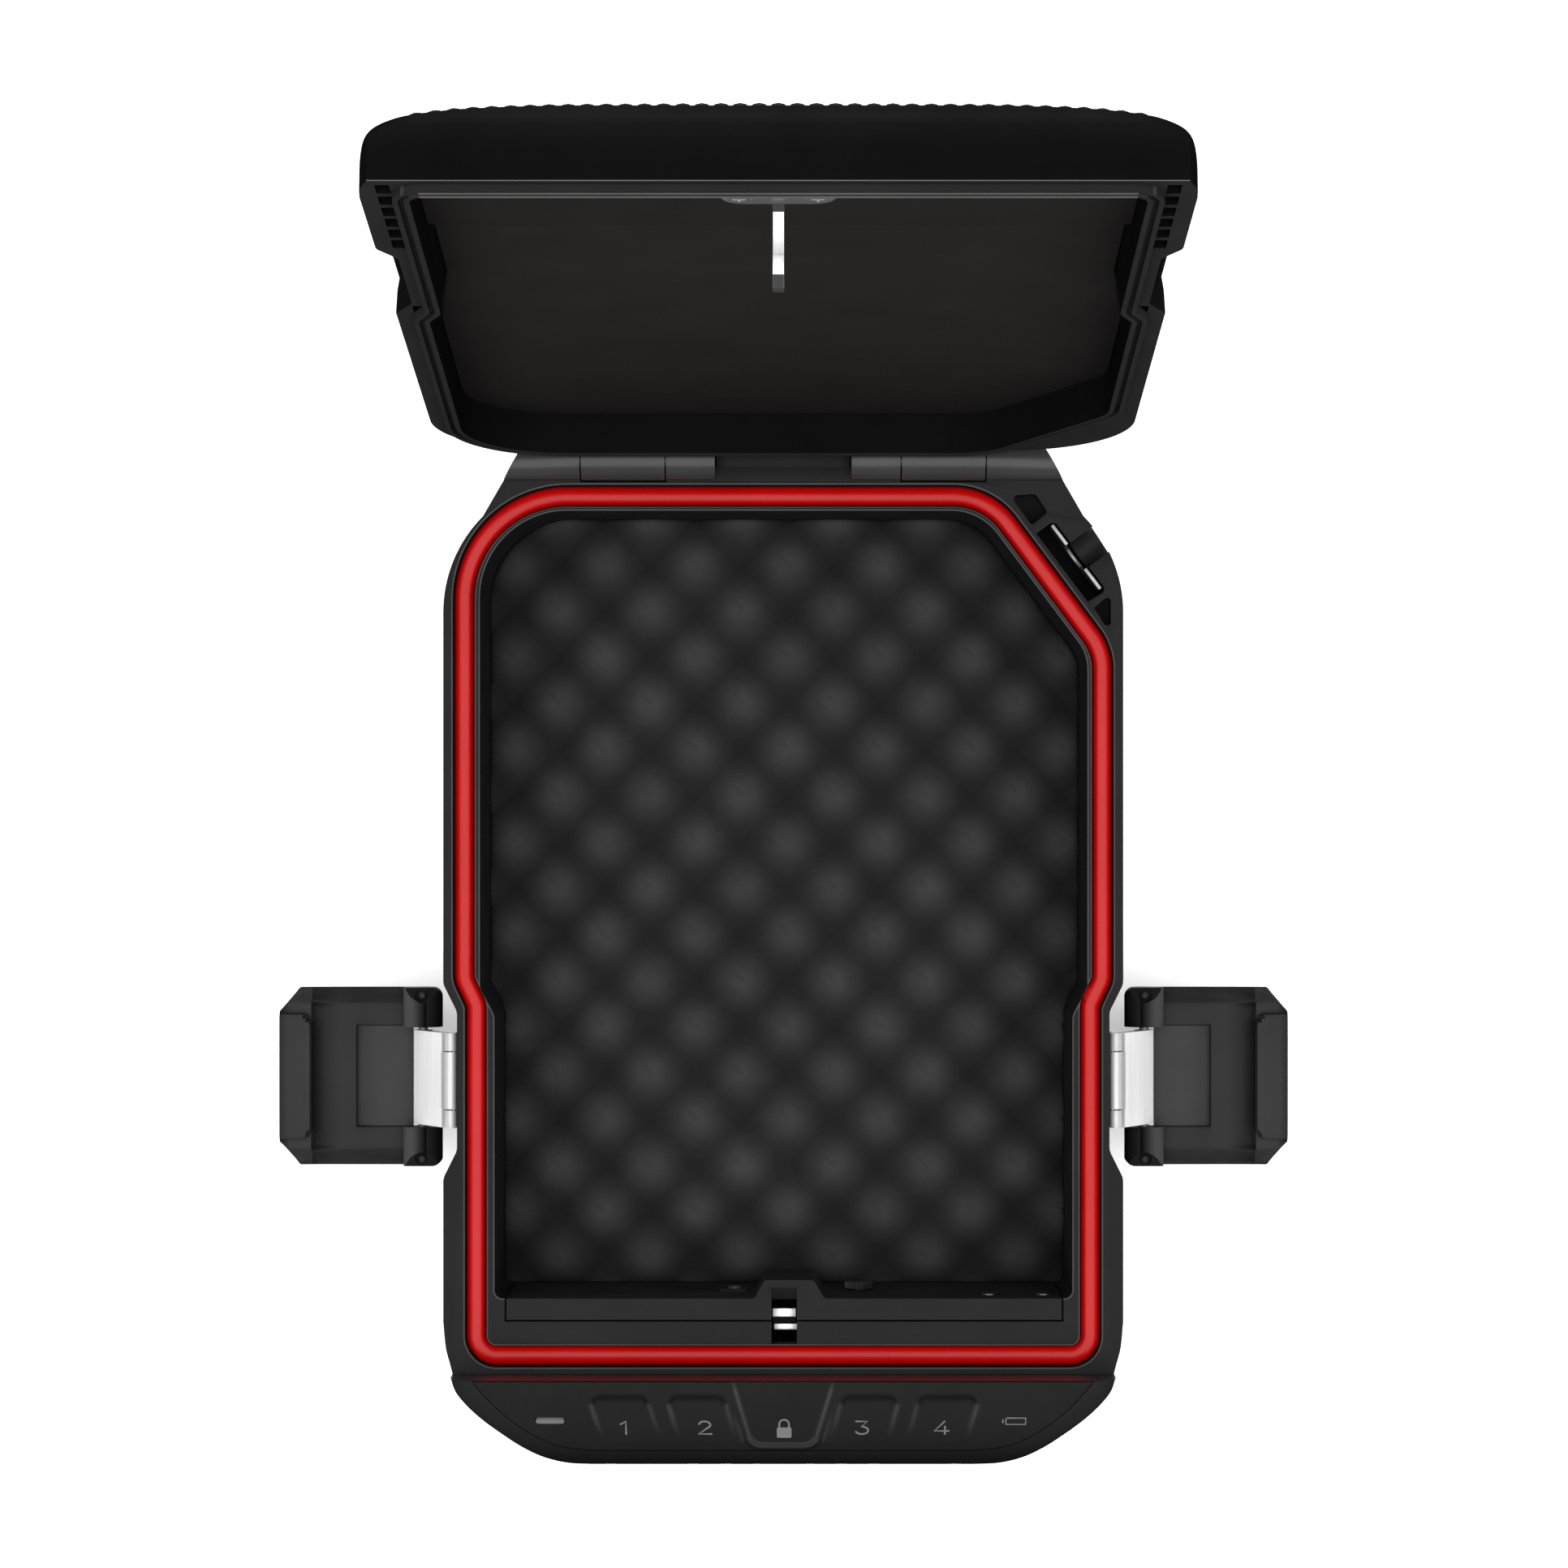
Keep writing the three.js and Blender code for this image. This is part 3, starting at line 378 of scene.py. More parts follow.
def material(name, dark, light, rough, spread=0.05, metallic=0.0, spec=0.5, patch=60.0, grain=2600.0,
             bump=0.15, depth=0.00002, coat=0.0, coat_rough=0.3, sheen=0.0, stretch=None, aniso=0.0, sub=None, painted_light_tone=False):
    m = bpy.data.materials.new(name)
    m.use_nodes = True
    nt = m.node_tree
    nt.nodes.clear()
    N, L = nt.nodes.new, nt.links.new
    out, bs, tc = N("ShaderNodeOutputMaterial"), N("ShaderNodeBsdfPrincipled"), N("ShaderNodeTexCoord")
    mp = N("ShaderNodeMapping")
    if stretch:
        mp.inputs["Scale"].default_value = stretch
    L(tc.outputs["Object"], mp.inputs["Vector"])
    n1 = N("ShaderNodeTexNoise")
    n1.inputs["Scale"].default_value = patch
    n1.inputs["Detail"].default_value = 4.0
    L(mp.outputs["Vector"], n1.inputs["Vector"])
    n2 = N("ShaderNodeTexNoise")
    n2.inputs["Scale"].default_value = grain
    n2.inputs["Detail"].default_value = 2.0
    L(mp.outputs["Vector"], n2.inputs["Vector"])
    ramp = N("ShaderNodeValToRGB")
    ramp.color_ramp.elements[0].position, ramp.color_ramp.elements[1].position = 0.3, 0.7
    ramp.color_ramp.elements[0].color = (*dark, 1)
    ramp.color_ramp.elements[1].color = (*light, 1)
    L(n1.outputs["Fac"], ramp.inputs["Fac"])
    colour = ramp.outputs["Color"]
    # multiplies the colour by the per-vertex factor: painted light and shade
    if painted_light_tone:
        at, mx = N("ShaderNodeAttribute"), N("ShaderNodeMix")
        at.attribute_name = "painted_light_tone"
        mx.data_type, mx.blend_type, mx.clamp_result = "RGBA", "MULTIPLY", False
        mx.inputs[0].default_value = 1.0
        L(colour, mx.inputs[6])
        L(at.outputs["Fac"], mx.inputs[7])
        colour = mx.outputs[2]
    L(colour, bs.inputs["Base Color"])
    mr = N("ShaderNodeMapRange")
    mr.inputs["From Min"].default_value, mr.inputs["From Max"].default_value = 0.3, 0.7
    mr.inputs["To Min"].default_value, mr.inputs["To Max"].default_value = rough - spread, rough + spread
    L(n2.outputs["Fac"], mr.inputs["Value"])
    L(mr.outputs["Result"], bs.inputs["Roughness"])
    bs.inputs["Metallic"].default_value = metallic
    socket(bs, "Specular IOR Level", "Specular").default_value = spec
    if coat:
        socket(bs, "Coat Weight").default_value = coat
        socket(bs, "Coat Roughness").default_value = coat_rough
    if sheen:
        socket(bs, "Sheen Weight").default_value = sheen
        socket(bs, "Sheen Roughness").default_value = 0.5
    if aniso:
        socket(bs, "Anisotropic").default_value = aniso
    if sub:
        socket(bs, "Subsurface Weight").default_value = sub[0]
        socket(bs, "Subsurface Scale").default_value = sub[1]
        socket(bs, "Subsurface Radius").default_value = (1.0, 0.2, 0.1)
    if bump:
        b = N("ShaderNodeBump")
        b.inputs["Strength"].default_value = bump
        b.inputs["Distance"].default_value = depth
        L(n2.outputs["Fac"], b.inputs["Height"])
        L(b.outputs["Normal"], bs.inputs["Normal"])
    L(bs.outputs["BSDF"], out.inputs["Surface"])
    return m


def grey(v, tint=(1, 1, 1)):
    return tuple(v * t for t in tint)


MAT = {
    "shell": material("shell_black", grey(0.0080), grey(0.0096), 0.46, 0.05, spec=0.05, grain=3200, bump=0.2, depth=0.00002),
    # the nose skin: its colour takes the per-vertex factor of painted light and shade
    "skin": material("shell_skin", grey(0.0108), grey(0.0122), 0.55, 0.05, spec=0.0, grain=3200, bump=0.2, depth=0.00002, painted_light_tone=True),
    # lighter copy of the shell for rounded edges: a painted highlight
    "edge": material("shell_edge_highlight", grey(0.056), grey(0.064), 0.45, 0.05, spec=0.1, grain=3200, bump=0.1),
    # darker copy for recess floors, holes, grooves and hidden faces: painted shade
    "hollow": material("shell_hollow", grey(0.0064), grey(0.0074), 0.6, 0.05, spec=0.04, grain=2000, bump=0.1),
    # lighter, glossier copy of the shell for the hinge knuckles: a painted highlight
    "knuckle": material("shell_knuckle_lit", grey(0.026), grey(0.031), 0.30, 0.03, spec=0.2, grain=3200, bump=0.03),
    # copies of the lid's one black plastic: a darker outside (painted shade), lighter rim and ceiling (painted light),
    # a much lighter edge copy (painted highlight)
    "lid_out": material("lid_outside_shaded", grey(0.0036), grey(0.0044), 0.5, 0.05, spec=0.0, grain=3200, bump=0.2, depth=0.00002),
    "lid_edge_highlight": material("lid_edge_highlight", grey(0.076), grey(0.086), 0.40, 0.05, spec=0.0, grain=3200, bump=0.1),
    "lid_rim": material("lid_rim_lit", grey(0.0125), grey(0.0145), 0.45, 0.04, spec=0.0, grain=2600, bump=0.12),
    "liner": material("liner_black", (0.0150, 0.0128, 0.0130), (0.0170, 0.0147, 0.0149), 0.6, 0.04, spec=0.0, grain=1500, bump=0.1),
    "grip": material("grip_rubber", grey(0.004), grey(0.006), 0.62, 0.08, spec=0.12, grain=2400, bump=0.3, depth=0.00004),
    # lever plastic; its colour carries painted light and shade ramps by position
    "lever": material("lever_black", grey(0.0138), grey(0.0162), 0.46, 0.05, spec=0.05, grain=3200, bump=0.15),
    # lighter copy for the lever's rounded edges: a painted highlight
    "lever_edge_highlight": material("lever_edge_highlight", grey(0.033), grey(0.039), 0.42, 0.05, spec=0.10, grain=3200, bump=0.1),
    "panel": material("panel_black", grey(0.0105), grey(0.0122), 0.44, 0.04, spec=0.09, grain=3400, bump=0.12),
    # the key face: its colour takes the per-vertex factor of painted light and shade
    "face": material("panel_face", grey(0.0106), grey(0.0120), 0.5, 0.04, spec=0.0, grain=3400, bump=0.12, painted_light_tone=True),
    "seal": material("seal_red", (0.315, 0.0006, 0.0007), (0.345, 0.0009, 0.0010), 0.32, 0.03, spec=0.17, grain=1800, bump=0.08, depth=0.00001),
    # the foam: its colour takes the per-vertex factor of painted light and shade
    "foam": material("foam_grey", grey(0.0300), grey(0.0345), 0.9, 0.05, spec=0.04, patch=260, grain=2600, bump=0.7, depth=0.00012, sheen=0.03, painted_light_tone=True),
    "pad": material("pad_rubber", grey(0.006), grey(0.009), 0.75, 0.08, spec=0.2, grain=900, bump=0.4, depth=0.00006),
    "steel": material("steel_bright", grey(0.62), grey(0.72), 0.36, 0.05, metallic=0.45, spec=0.4, patch=900, grain=900, bump=0.05, depth=0.00001, stretch=(1, 1, 0.06)),
    "link": material("steel_link", grey(0.36), grey(0.42), 0.42, 0.04, metallic=0.25, spec=0.3, patch=700, grain=1500, bump=0.05, depth=0.00001, stretch=(1, 0.05, 1)),
    "steel2": material("steel_dull", grey(0.20), grey(0.26), 0.40, 0.05, metallic=0.4, spec=0.3, patch=500, grain=1200, bump=0.08, depth=0.00001, stretch=(1, 1, 0.1)),
    # lighter copies of the shell for the deck's rear-facing walls and the hook slot: painted light
    "wall": material("deck_wall_lit", grey(0.014), grey(0.017), 0.5, 0.05, spec=0.12, grain=2600, bump=0.12),
    "slot": material("slot_wall_lit", grey(0.050), grey(0.058), 0.5, 0.05, spec=0.1, grain=2600, bump=0.12),
    "wheel": material("wheel_black", grey(0.026), grey(0.032), 0.45, 0.05, spec=0.15, grain=2600, bump=0.12),
    # paler copy of the link steel for the plate's outward faces: painted light
    "plate": material("link_plate_lit", grey(0.66), grey(0.74), 0.5, 0.05, metallic=0.1, spec=0.3, patch=700, grain=1500, bump=0.05, depth=0.00001, stretch=(1, 0.05, 1)),
    # more lid copies: lighter sides and tongue (painted light), lighter lines and ridges (painted highlights), and the
    # front roll with a painted shading ramp
    "lid_side": material("lid_side_lit", grey(0.0150), grey(0.0175), 0.45, 0.04, spec=0.0, grain=2600, bump=0.12),
    "lid_line_highlight": material("lid_line_highlight", grey(0.027), grey(0.032), 0.45, 0.04, spec=0.0, grain=2600, bump=0.12),
    # copy for the lever bosses, with a painted highlight on the outer flank and painted shade on the inner side
    "boss": material("lever_boss_lit", grey(0.0138), grey(0.0162), 0.46, 0.05, spec=0.0, grain=3200, bump=0.15),
    "lid_tongue_lit": material("lid_tongue_lit", grey(0.029), grey(0.034), 0.5, 0.05, spec=0.0, grain=3200, bump=0.1),
    "lid_ridge_highlight": material("lid_ridge_highlight", grey(0.078), grey(0.088), 0.5, 0.05, spec=0.0, grain=3200, bump=0.1),
    "lid_front_shading": material("lid_front_shading", grey(0.0036), grey(0.0044), 0.5, 0.05, spec=0.0, grain=3200, bump=0.2, depth=0.00002),
    # copy for the lever's recess floor, made lighter: painted light
    "pan": material("lever_pan_lit", grey(0.0138), grey(0.0162), 0.46, 0.05, spec=0.05, grain=3200, bump=0.15),
    # near-black copy of the steel for the lever screw heads: painted shade in their pockets
    "dim": material("screw_head_shaded", grey(0.013), grey(0.017), 0.45, 0.05, spec=0.08, patch=500, grain=1200, bump=0.05),
    "gloss": material("nose_wall", grey(0.010), grey(0.012), 0.30, 0.03, spec=0.9, grain=3200, bump=0.03),
    "flange": material("flange_grey", grey(0.085), grey(0.105), 0.42, 0.04, metallic=0.3, spec=0.2, patch=900, grain=1500, bump=0.05),
    # dark grey for the hook blade's downward faces: painted shade
    "hook_tip_shade": material("hook_tip_shade", grey(0.036), grey(0.043), 0.5, 0.04, spec=0.0, grain=1500, bump=0.05),
    # darker steel for the anchor plate's sides: painted shade
    "screw": material("anchor_side_shaded", grey(0.07), grey(0.09), 0.3, 0.05, metallic=0.6, patch=500, grain=1200, bump=0.05),
    "chrome": material("chrome", grey(0.62), grey(0.72), 0.2, 0.04, metallic=0.5, patch=300, grain=2000, bump=0.02),
    "lens": material("lens_smoked", grey(0.008), grey(0.012), 0.10, 0.03, spec=0.5, coat=0.5, coat_rough=0.05, bump=0.0),
    "light": material("light_window", grey(0.085), grey(0.10), 0.4, 0.05, spec=0.3, patch=300, bump=0.05),
    "print": material("key_print", grey(0.100), grey(0.115), 0.55, 0.05, spec=0.15, patch=900, bump=0.05),
    "board": material("board_green", (0.01, 0.06, 0.02), (0.015, 0.09, 0.03), 0.35, 0.05, patch=500, bump=0.1),
    "cell": material("cell_jacket", grey(0.05), grey(0.07), 0.3, 0.05, metallic=0.2, patch=200, bump=0.05),
}


# ---------------------------------------------------------------- shared shape
HALF_W, REAR_Y, RIM_Z, SHELL_Z0, FLOOR_Z, WALL_Y = 81.7, 123.6, 45.0, 1.2, 5.2, -101.9
HY, HZ, HR, PIN_R = 117.6, 44.15, 4.9, 1.5
LID_Z, LATCH_Y = 45.25, -31.6
SEAL = [(-76.8, 109.1, 25), (-76.8, -7.2, 5), (-73.9, -13.3, 5), (-73.9, -97.8, 5), (73.9, -97.8, 5),
        (73.9, -13.3, 5), (76.8, -7.2, 5), (76.8, 72.0, 14), (49.1, 109.1, 16.4)]
CAVITY = [(-72.9, 105.5, 21), (-72.9, -9.2, 4), (-69.4, -15.8, 4), (-69.4, -83.85, 2), (69.5, -83.85, 2),
          (69.5, -15.8, 4), (73.1, -9.2, 4), (73.1, 71.0, 11), (47.3, 105.5, 14)]
NOSE_SIDE = spline([(-81.7, -89.5), (-81.1, -95.6), (-80.1, -99.5), (-79.4, -102.2), (-78.5, -105.2), (-76.9, -107.7),
                    (-74.6, -110.4), (-71.4, -113.4), (-67.2, -116.7), (-62.4, -120.2), (-57.4, -123.2), (-51.9, -125.4),
                    (-46.0, -126.35)], 4)
NOTCH = [(-HALF_W, -8.3, 4), (-78.4, -14.9, 4), (-78.4, -48.3, 4), (-HALF_W, -54.9, 4)]
BASE_LEFT = (rounded([(0, REAR_Y, 0), (-60.9, REAR_Y, 3.4), (-72.15, 104.15, 0)], 8)[1:-1]
             + arc(-49.1, 81.1, 32.6, 135, 180, 16)
             + rounded([(-HALF_W, 40, 0)] + NOTCH + [(-HALF_W, -70, 0)], 5)[1:-1] + NOSE_SIDE)
BASE_OUT = BASE_LEFT + mirror(BASE_LEFT)
FACE = [(-101.9, 60.6), (-105, 59.65), (-109, 57.35), (-113, 54.1), (-116.5, 50.5), (-119.9, 46.3),
        (-123.0, 41.0), (-125.2, 34.8), (-126.35, 27.5)]
FACE_C = np.array(spline(FACE, 8))


def face_z(y):
    return np.interp(-np.asarray(y, float), -FACE_C[:, 0], FACE_C[:, 1])


def skin(x, y):
    """Height of the nose's outer skin: the key face, rounding over towards its plan edge."""
    x, y = np.asarray(x, float), np.asarray(y, float)
    d = edge_dist(BASE_OUT, x, y)
    side = smoothstep(-123.5, -108.0, y)
    r = 4.5 + 3.5 * side
    drop = 3.0 + 6.0 * side
    k = np.clip((r - d) / r, 0, 1)
    return face_z(y) - drop * (1 - np.sqrt(np.clip(1 - k * k, 0, 1)))


# ---------------------------------------------------------------- base shell
def nose_body():
    side = [p for p in BASE_OUT if p[1] < WALL_Y - 0.05]
    i = side.index(min(side, key=lambda p: (p[0], -p[1])))
    left = [p for p in NOSE_SIDE if p[1] < WALL_Y - 0.05]
    plan = [(-79.5, WALL_Y)] + left + mirror(left) + [(79.5, WALL_Y)]
    pts = []
    for d, st in ((0.12, 0.7), (0.35, 0.8), (0.7, 0.9), (1.2, 1.0), (1.8, 1.1), (2.5, 1.3), (3.4, 1.5), (4.5, 1.7), (5.8, 2.0), (7.4, 2.4)):
        ring = offset(densify(BASE_OUT, st), d)
        pts += [p for p in ring if p[1] < WALL_Y - 0.3]
    pts += [p for p in grid(-75, 75, -125.5, -102, 2.4) if edge_dist(BASE_OUT, np.array([p[0]]), np.array([p[1]]))[0] > 8.5]
    pts += [(x, y) for y in FACE_C[:, 0] for x in np.arange(-66, 66.1, 3.0) if y < -102.3 and y > -119.5]
    v, f = fill(plan, (), pts, 0.9)
    top = np.column_stack([v, skin(v[:, 0], v[:, 1])])
    bottom = np.column_stack([v, np.full(len(v), 0.5)])
    return raw(*plate(v, f, top, bottom))


PANEL_SIDE = spline([(-73.6, WALL_Y), (-71.4, -104.6), (-68.4, -108.2), (-64.3, -112.2), (-59, -116.2), (-53.4, -118.9), (-46, -120.2)], 5)
PANEL = PANEL_SIDE + mirror(PANEL_SIDE)
AN_O, AN_S, AN_N = (60.76, 99.98), (0.603, -0.798), (0.798, 0.603)


POCKET_A = rounded([(54.5, 109.1, 1), (59.7, 101.9, 0.8), (63.6, 105.1, 1), (60.6, 109.5, 1.2)], 15)
POCKET_B = rounded([(74.6, 82.1, 0.6), (77.3, 77.9, 0.7), (78.75, 77.9, 0.8), (78.75, 84.5, 0.8), (77.5, 84.5, 0.8)], 20)


# Painted shade on the nose: darker towards its front edge, where the skin turns away from the light.
def nose_painted_shade(y):
    return np.interp(y, [-126.4, -124.8, -122.6, -120.2, -117, -112, -102], [0.34, 0.44, 0.56, 0.72, 0.88, 0.99, 1.04])


def an(s, n):
    return (AN_O[0] + AN_S[0] * s + AN_N[0] * n, AN_O[1] + AN_S[1] * s + AN_N[1] * n)


CABLE = [an(0, 0), an(20.6, 0), an(21.0, 4.4), an(20.2, 5.3), an(0.9, 5.3), an(0.1, 4.4)]


def base_shell():
    body = [p for p in BASE_LEFT if p[1] > -102.6]
    body = body + [(body[-1][0], -103.2)]
    o = prism(body + mirror(body), 0.4, RIM_Z)
    add(o, nose_body())
    # rounded foot all round
    rings = []
    for a in (0, 15, 30, 45, 60, 75, 90):
        rings.append([(x, y, SHELL_Z0 + 2.2 * (1 - math.sin(a * RAD))) for x, y in offset(BASE_OUT, 2.2 * (1 - math.cos(a * RAD)))])
    rings = rings[::-1] + [[(x, y, 70) for x, y in BASE_OUT]]
    common(o, loft(rings))
    # cavity and seal groove
    def flared(corners, d0, d1, z0, z1):
        """Straight-sided outline that flares by d1 - d0 over its last 0.3 mm below the rim."""
        ring = rounded(inset(corners, d0), 4)
        wide = offset(ring, d1 - d0)
        return loft([[(x, y, z) for x, y in r] for r, z in ((ring, z0), (ring, RIM_Z - 0.3), (wide, RIM_Z), (wide, z1))])
    cut(o, flared(CAVITY, 0.0, -0.3, FLOOR_Z, 60))
    g = flared(SEAL, -2.65, -2.95, 40.6, 60)
    cut(g, flared(SEAL, 2.65, 2.95, 30, 70))
    cut(o, g)
    # space for cells and lock, hook slot
    cut(o, box(-66.95, 67.35, -89.4, -83, 41.4, 50), box(-66.8, 67.2, -87, -83, FLOOR_Z, 50),
        box(-64, 64, -94.4, -84, 6, 41.7), box(-64, 64, -117.4, -90, 6, 38.5), box(-2.85, 3.28, -94.75, -84, 30, 60))
    # seat of the keypad panel
    seat = offset(PANEL, -0.2)
    seat = [(-73.8, -90)] + [p for p in seat if p[1] < WALL_Y + 0.1] + [(73.8, -90)]
    pl = [(x, min(y, WALL_Y)) for x, y in seat if y < -95]
    v, f = fill([(-73.8, WALL_Y + 0.0)] + [p for p in pl if p[1] < WALL_Y - 0.01] + [(73.8, WALL_Y + 0.0)], (), grid(-72, 72, -120, -102.5, 2.2), 1.2)
    low = np.column_stack([v, skin(v[:, 0], v[:, 1]) - 2.3])
    cut(o, raw(*plate(v, f, np.column_stack([v, np.full(len(v), 80.0)]), low)))
    # post of the thumb screw, pad recess
    add(o, box(15, 21.7, -91.2, -88.2, 5, 28.6))
    cut(o, rod("y", 1.85, 18.35, 24.6, -93, -87, 24))
    cut(o, prism(rounded(inset([(-62, 100, 12), (-62, -100, 12), (62, -100, 12), (62, 100, 12)], -0.3), 10), 0, 2.3))
    # side recesses for the latch bosses
    prof = [(74.7, 20.2), (76.5, 18.2), (90, 16.5), (90, 35.5), (78.0, 35.5), (74.7, 30)]
    cut(o, along_y(prof, LATCH_Y - 22.3, LATCH_Y + 22.3), along_y(mirror(prof), LATCH_Y - 22.3, LATCH_Y + 22.3))
    # hinge
    kn = [(-70, -48.8), (-28.1, -16.4), (16.4, 28.1), (48.8, 70)]
    for x0, x1 in ((-48.8, -28.1), (28.1, 48.8)):
        cut(o, rod("x", HR + 0.45, HY, HZ, x0, x1, 64), box(x0, x1, HY, 130, HZ - 5.35, 60))
    for x0, x1 in kn:
        add(o, common(rod("x", HR, HY, HZ, x0, x1, 64), prism(BASE_OUT, 30, 60)))
    for x0, x1 in ((-59.8, -16), (16, 59.8)):
        cut(o, rod("x", PIN_R + 0.35, HY, HZ, x0, x1, 24))
    # cable anchor
    cut(o, prism(CABLE, 24, 60))
    half = [(-3.65, 8)] + arc(0, -2.4, 3.65, 180, 360, 24) + [(3.65, 8)]
    c0, c1 = an(10.4, 3.8), an(10.4, 22.0)
    rings = [[(c[0] + AN_S[0] * u, c[1] + AN_S[1] * u, RIM_Z + w) for u, w in half] for c in (c0, c1)]
    cut(o, loft(rings[::-1]))
    cut(o, prism(POCKET_A, 37, 60), prism(POCKET_B, 37, 60))
    for x0 in (-79, 75.9):
        for y in (-8, 8):
            cut(o, box(x0, x0 + 3.1, LATCH_Y + y - 2.3, LATCH_Y + y + 2.3, 36.9, 39.1))
    soften(o, 0.28, 2, weld=0)
    c, n, k = faces_of(o)
    k = np.where(k == 0, 4, k)                                     # plain walls
    # the rim's chamfers take the lighter edge copy too: a painted highlight
    k[(k == 4) & (n[:, 2] > 0.5) & (n[:, 2] < 0.88) & (c[:, 2] > RIM_Z - 0.32) & (c[:, 2] < RIM_Z) & (c[:, 1] > -101)] = 1
    k[(k == 4) & (c[:, 1] < WALL_Y + 0.2)] = 0                     # nose skin, with painted shade darker to the front and lower down
    k[(n[:, 1] > 0.9) & (c[:, 1] < WALL_Y + 0.3) & (c[:, 1] > WALL_Y - 0.6) & (c[:, 2] > 44)] = 5
    # floors of the cable slot and the two pockets take the darker copy: painted shade
    k[(c[:, 2] < 44.7) & (signed(CABLE, c[:, 0], c[:, 1]) > -0.1)] = 2
    pocket = (c[:, 2] < 44.6) & (signed(POCKET_A, c[:, 0], c[:, 1]) > -0.25) | (c[:, 2] < 44.6) & (signed(POCKET_B, c[:, 0], c[:, 1]) > -0.25)
    k[pocket] = 2
    # up-facing knuckle faces take the lighter knuckle copy: a painted highlight
    r = np.hypot(c[:, 1] - HY, c[:, 2] - HZ)
    k[(r < HR + 0.3) & (r > HR - 0.6) & (np.abs(c[:, 0]) < 70.5) & (np.abs(c[:, 0]) > 16) & (n[:, 2] > 0.3)] = 3
    o.data.polygons.foreach_set("material_index", k)
    v = np.array([p.co for p in o.data.vertices])
    # painted shade on the nose, darker towards the front and lower down; the factor is 1 elsewhere
    paint(o, np.where(v[:, 1] < WALL_Y + 0.2, nose_painted_shade(v[:, 1]) * (0.8 + 0.35 * np.clip((v[:, 2] - 40) / 20, 0, 1)), 1.0))
    finish_mesh(o, "base_shell_body", [MAT[m] for m in ("skin", "edge", "hollow", "knuckle", "shell", "gloss")], "base", ("base_shell",))
    me = o.data
    for p in me.polygons:                                          # flat rear wall keeps its own shading
        if p.normal.y > 0.999:
            for i in p.loop_indices:
                me.edges[me.loops[i].edge_index].use_edge_sharp = True
    return o


# ---------------------------------------------------------------- lid
LID_TURN = (Matrix.Translation((0, HY, HZ)) @ Matrix.Rotation(-100 * RAD, 4, "X") @ Matrix.Translation((0, -HY, -HZ)))
CROWN = spline([(81.95, 50.0), (81.35, 52.9), (80.6, 54.5), (79.9, 55.7), (78.6, 56.9), (76.2, 58.1), (72.4, 59.3), (68.2, 60.0), (60, 60.8), (45, 61.35), (25, 61.5), (0, 61.6)], 4)
CROWN_ALL = [(85.3, 0)] + CROWN + [(-x, z) for x, z in CROWN[:-1]][::-1] + [(-85.3, 0)]
CROWN_X = np.array(CROWN)[::-1]


def crown(x):
    return np.interp(np.abs(x), CROWN_X[:, 0], CROWN_X[:, 1])


def lower(d):
    return [(x, z if z < 10 else z - d) for x, z in CROWN_ALL]


LID_W = 82.3
LID_LEFT = (rounded([(0, 112.3, 0), (-LID_W, 112.3, 28), (-LID_W, -8.0, 4), (-78.4, -14.9, 4), (-78.4, -48.3, 4), (-LID_W, -55.1, 4), (-LID_W, -89.5, 0)], 4)[1:-1]
            + spline([(-LID_W, -89.5), (-81.8, -95.6), (-80.8, -99.2), (-79.9, -101.4)], 4))
LID_OUT = LID_LEFT + mirror(LID_LEFT)
LID_CAV = inset(SEAL, 1.7)
LID_TOP = [(-75.2, 107.4, 23.3), (-75.2, 24, 8), (-73.6, 6, 6), (-71.3, -14, 6), (-71.3, -46.6, 0.4), (-72.7, -47, 0.3), (-72.7, -96.1, 3.3),
           (72.7, -96.1, 3.3), (72.7, -47, 0.3), (71.3, -46.6, 0.4), (71.3, -14, 6), (73.6, 6, 6), (75.2, 24, 8), (75.2, 71.4, 12.3), (48.3, 107.4, 14.7)]


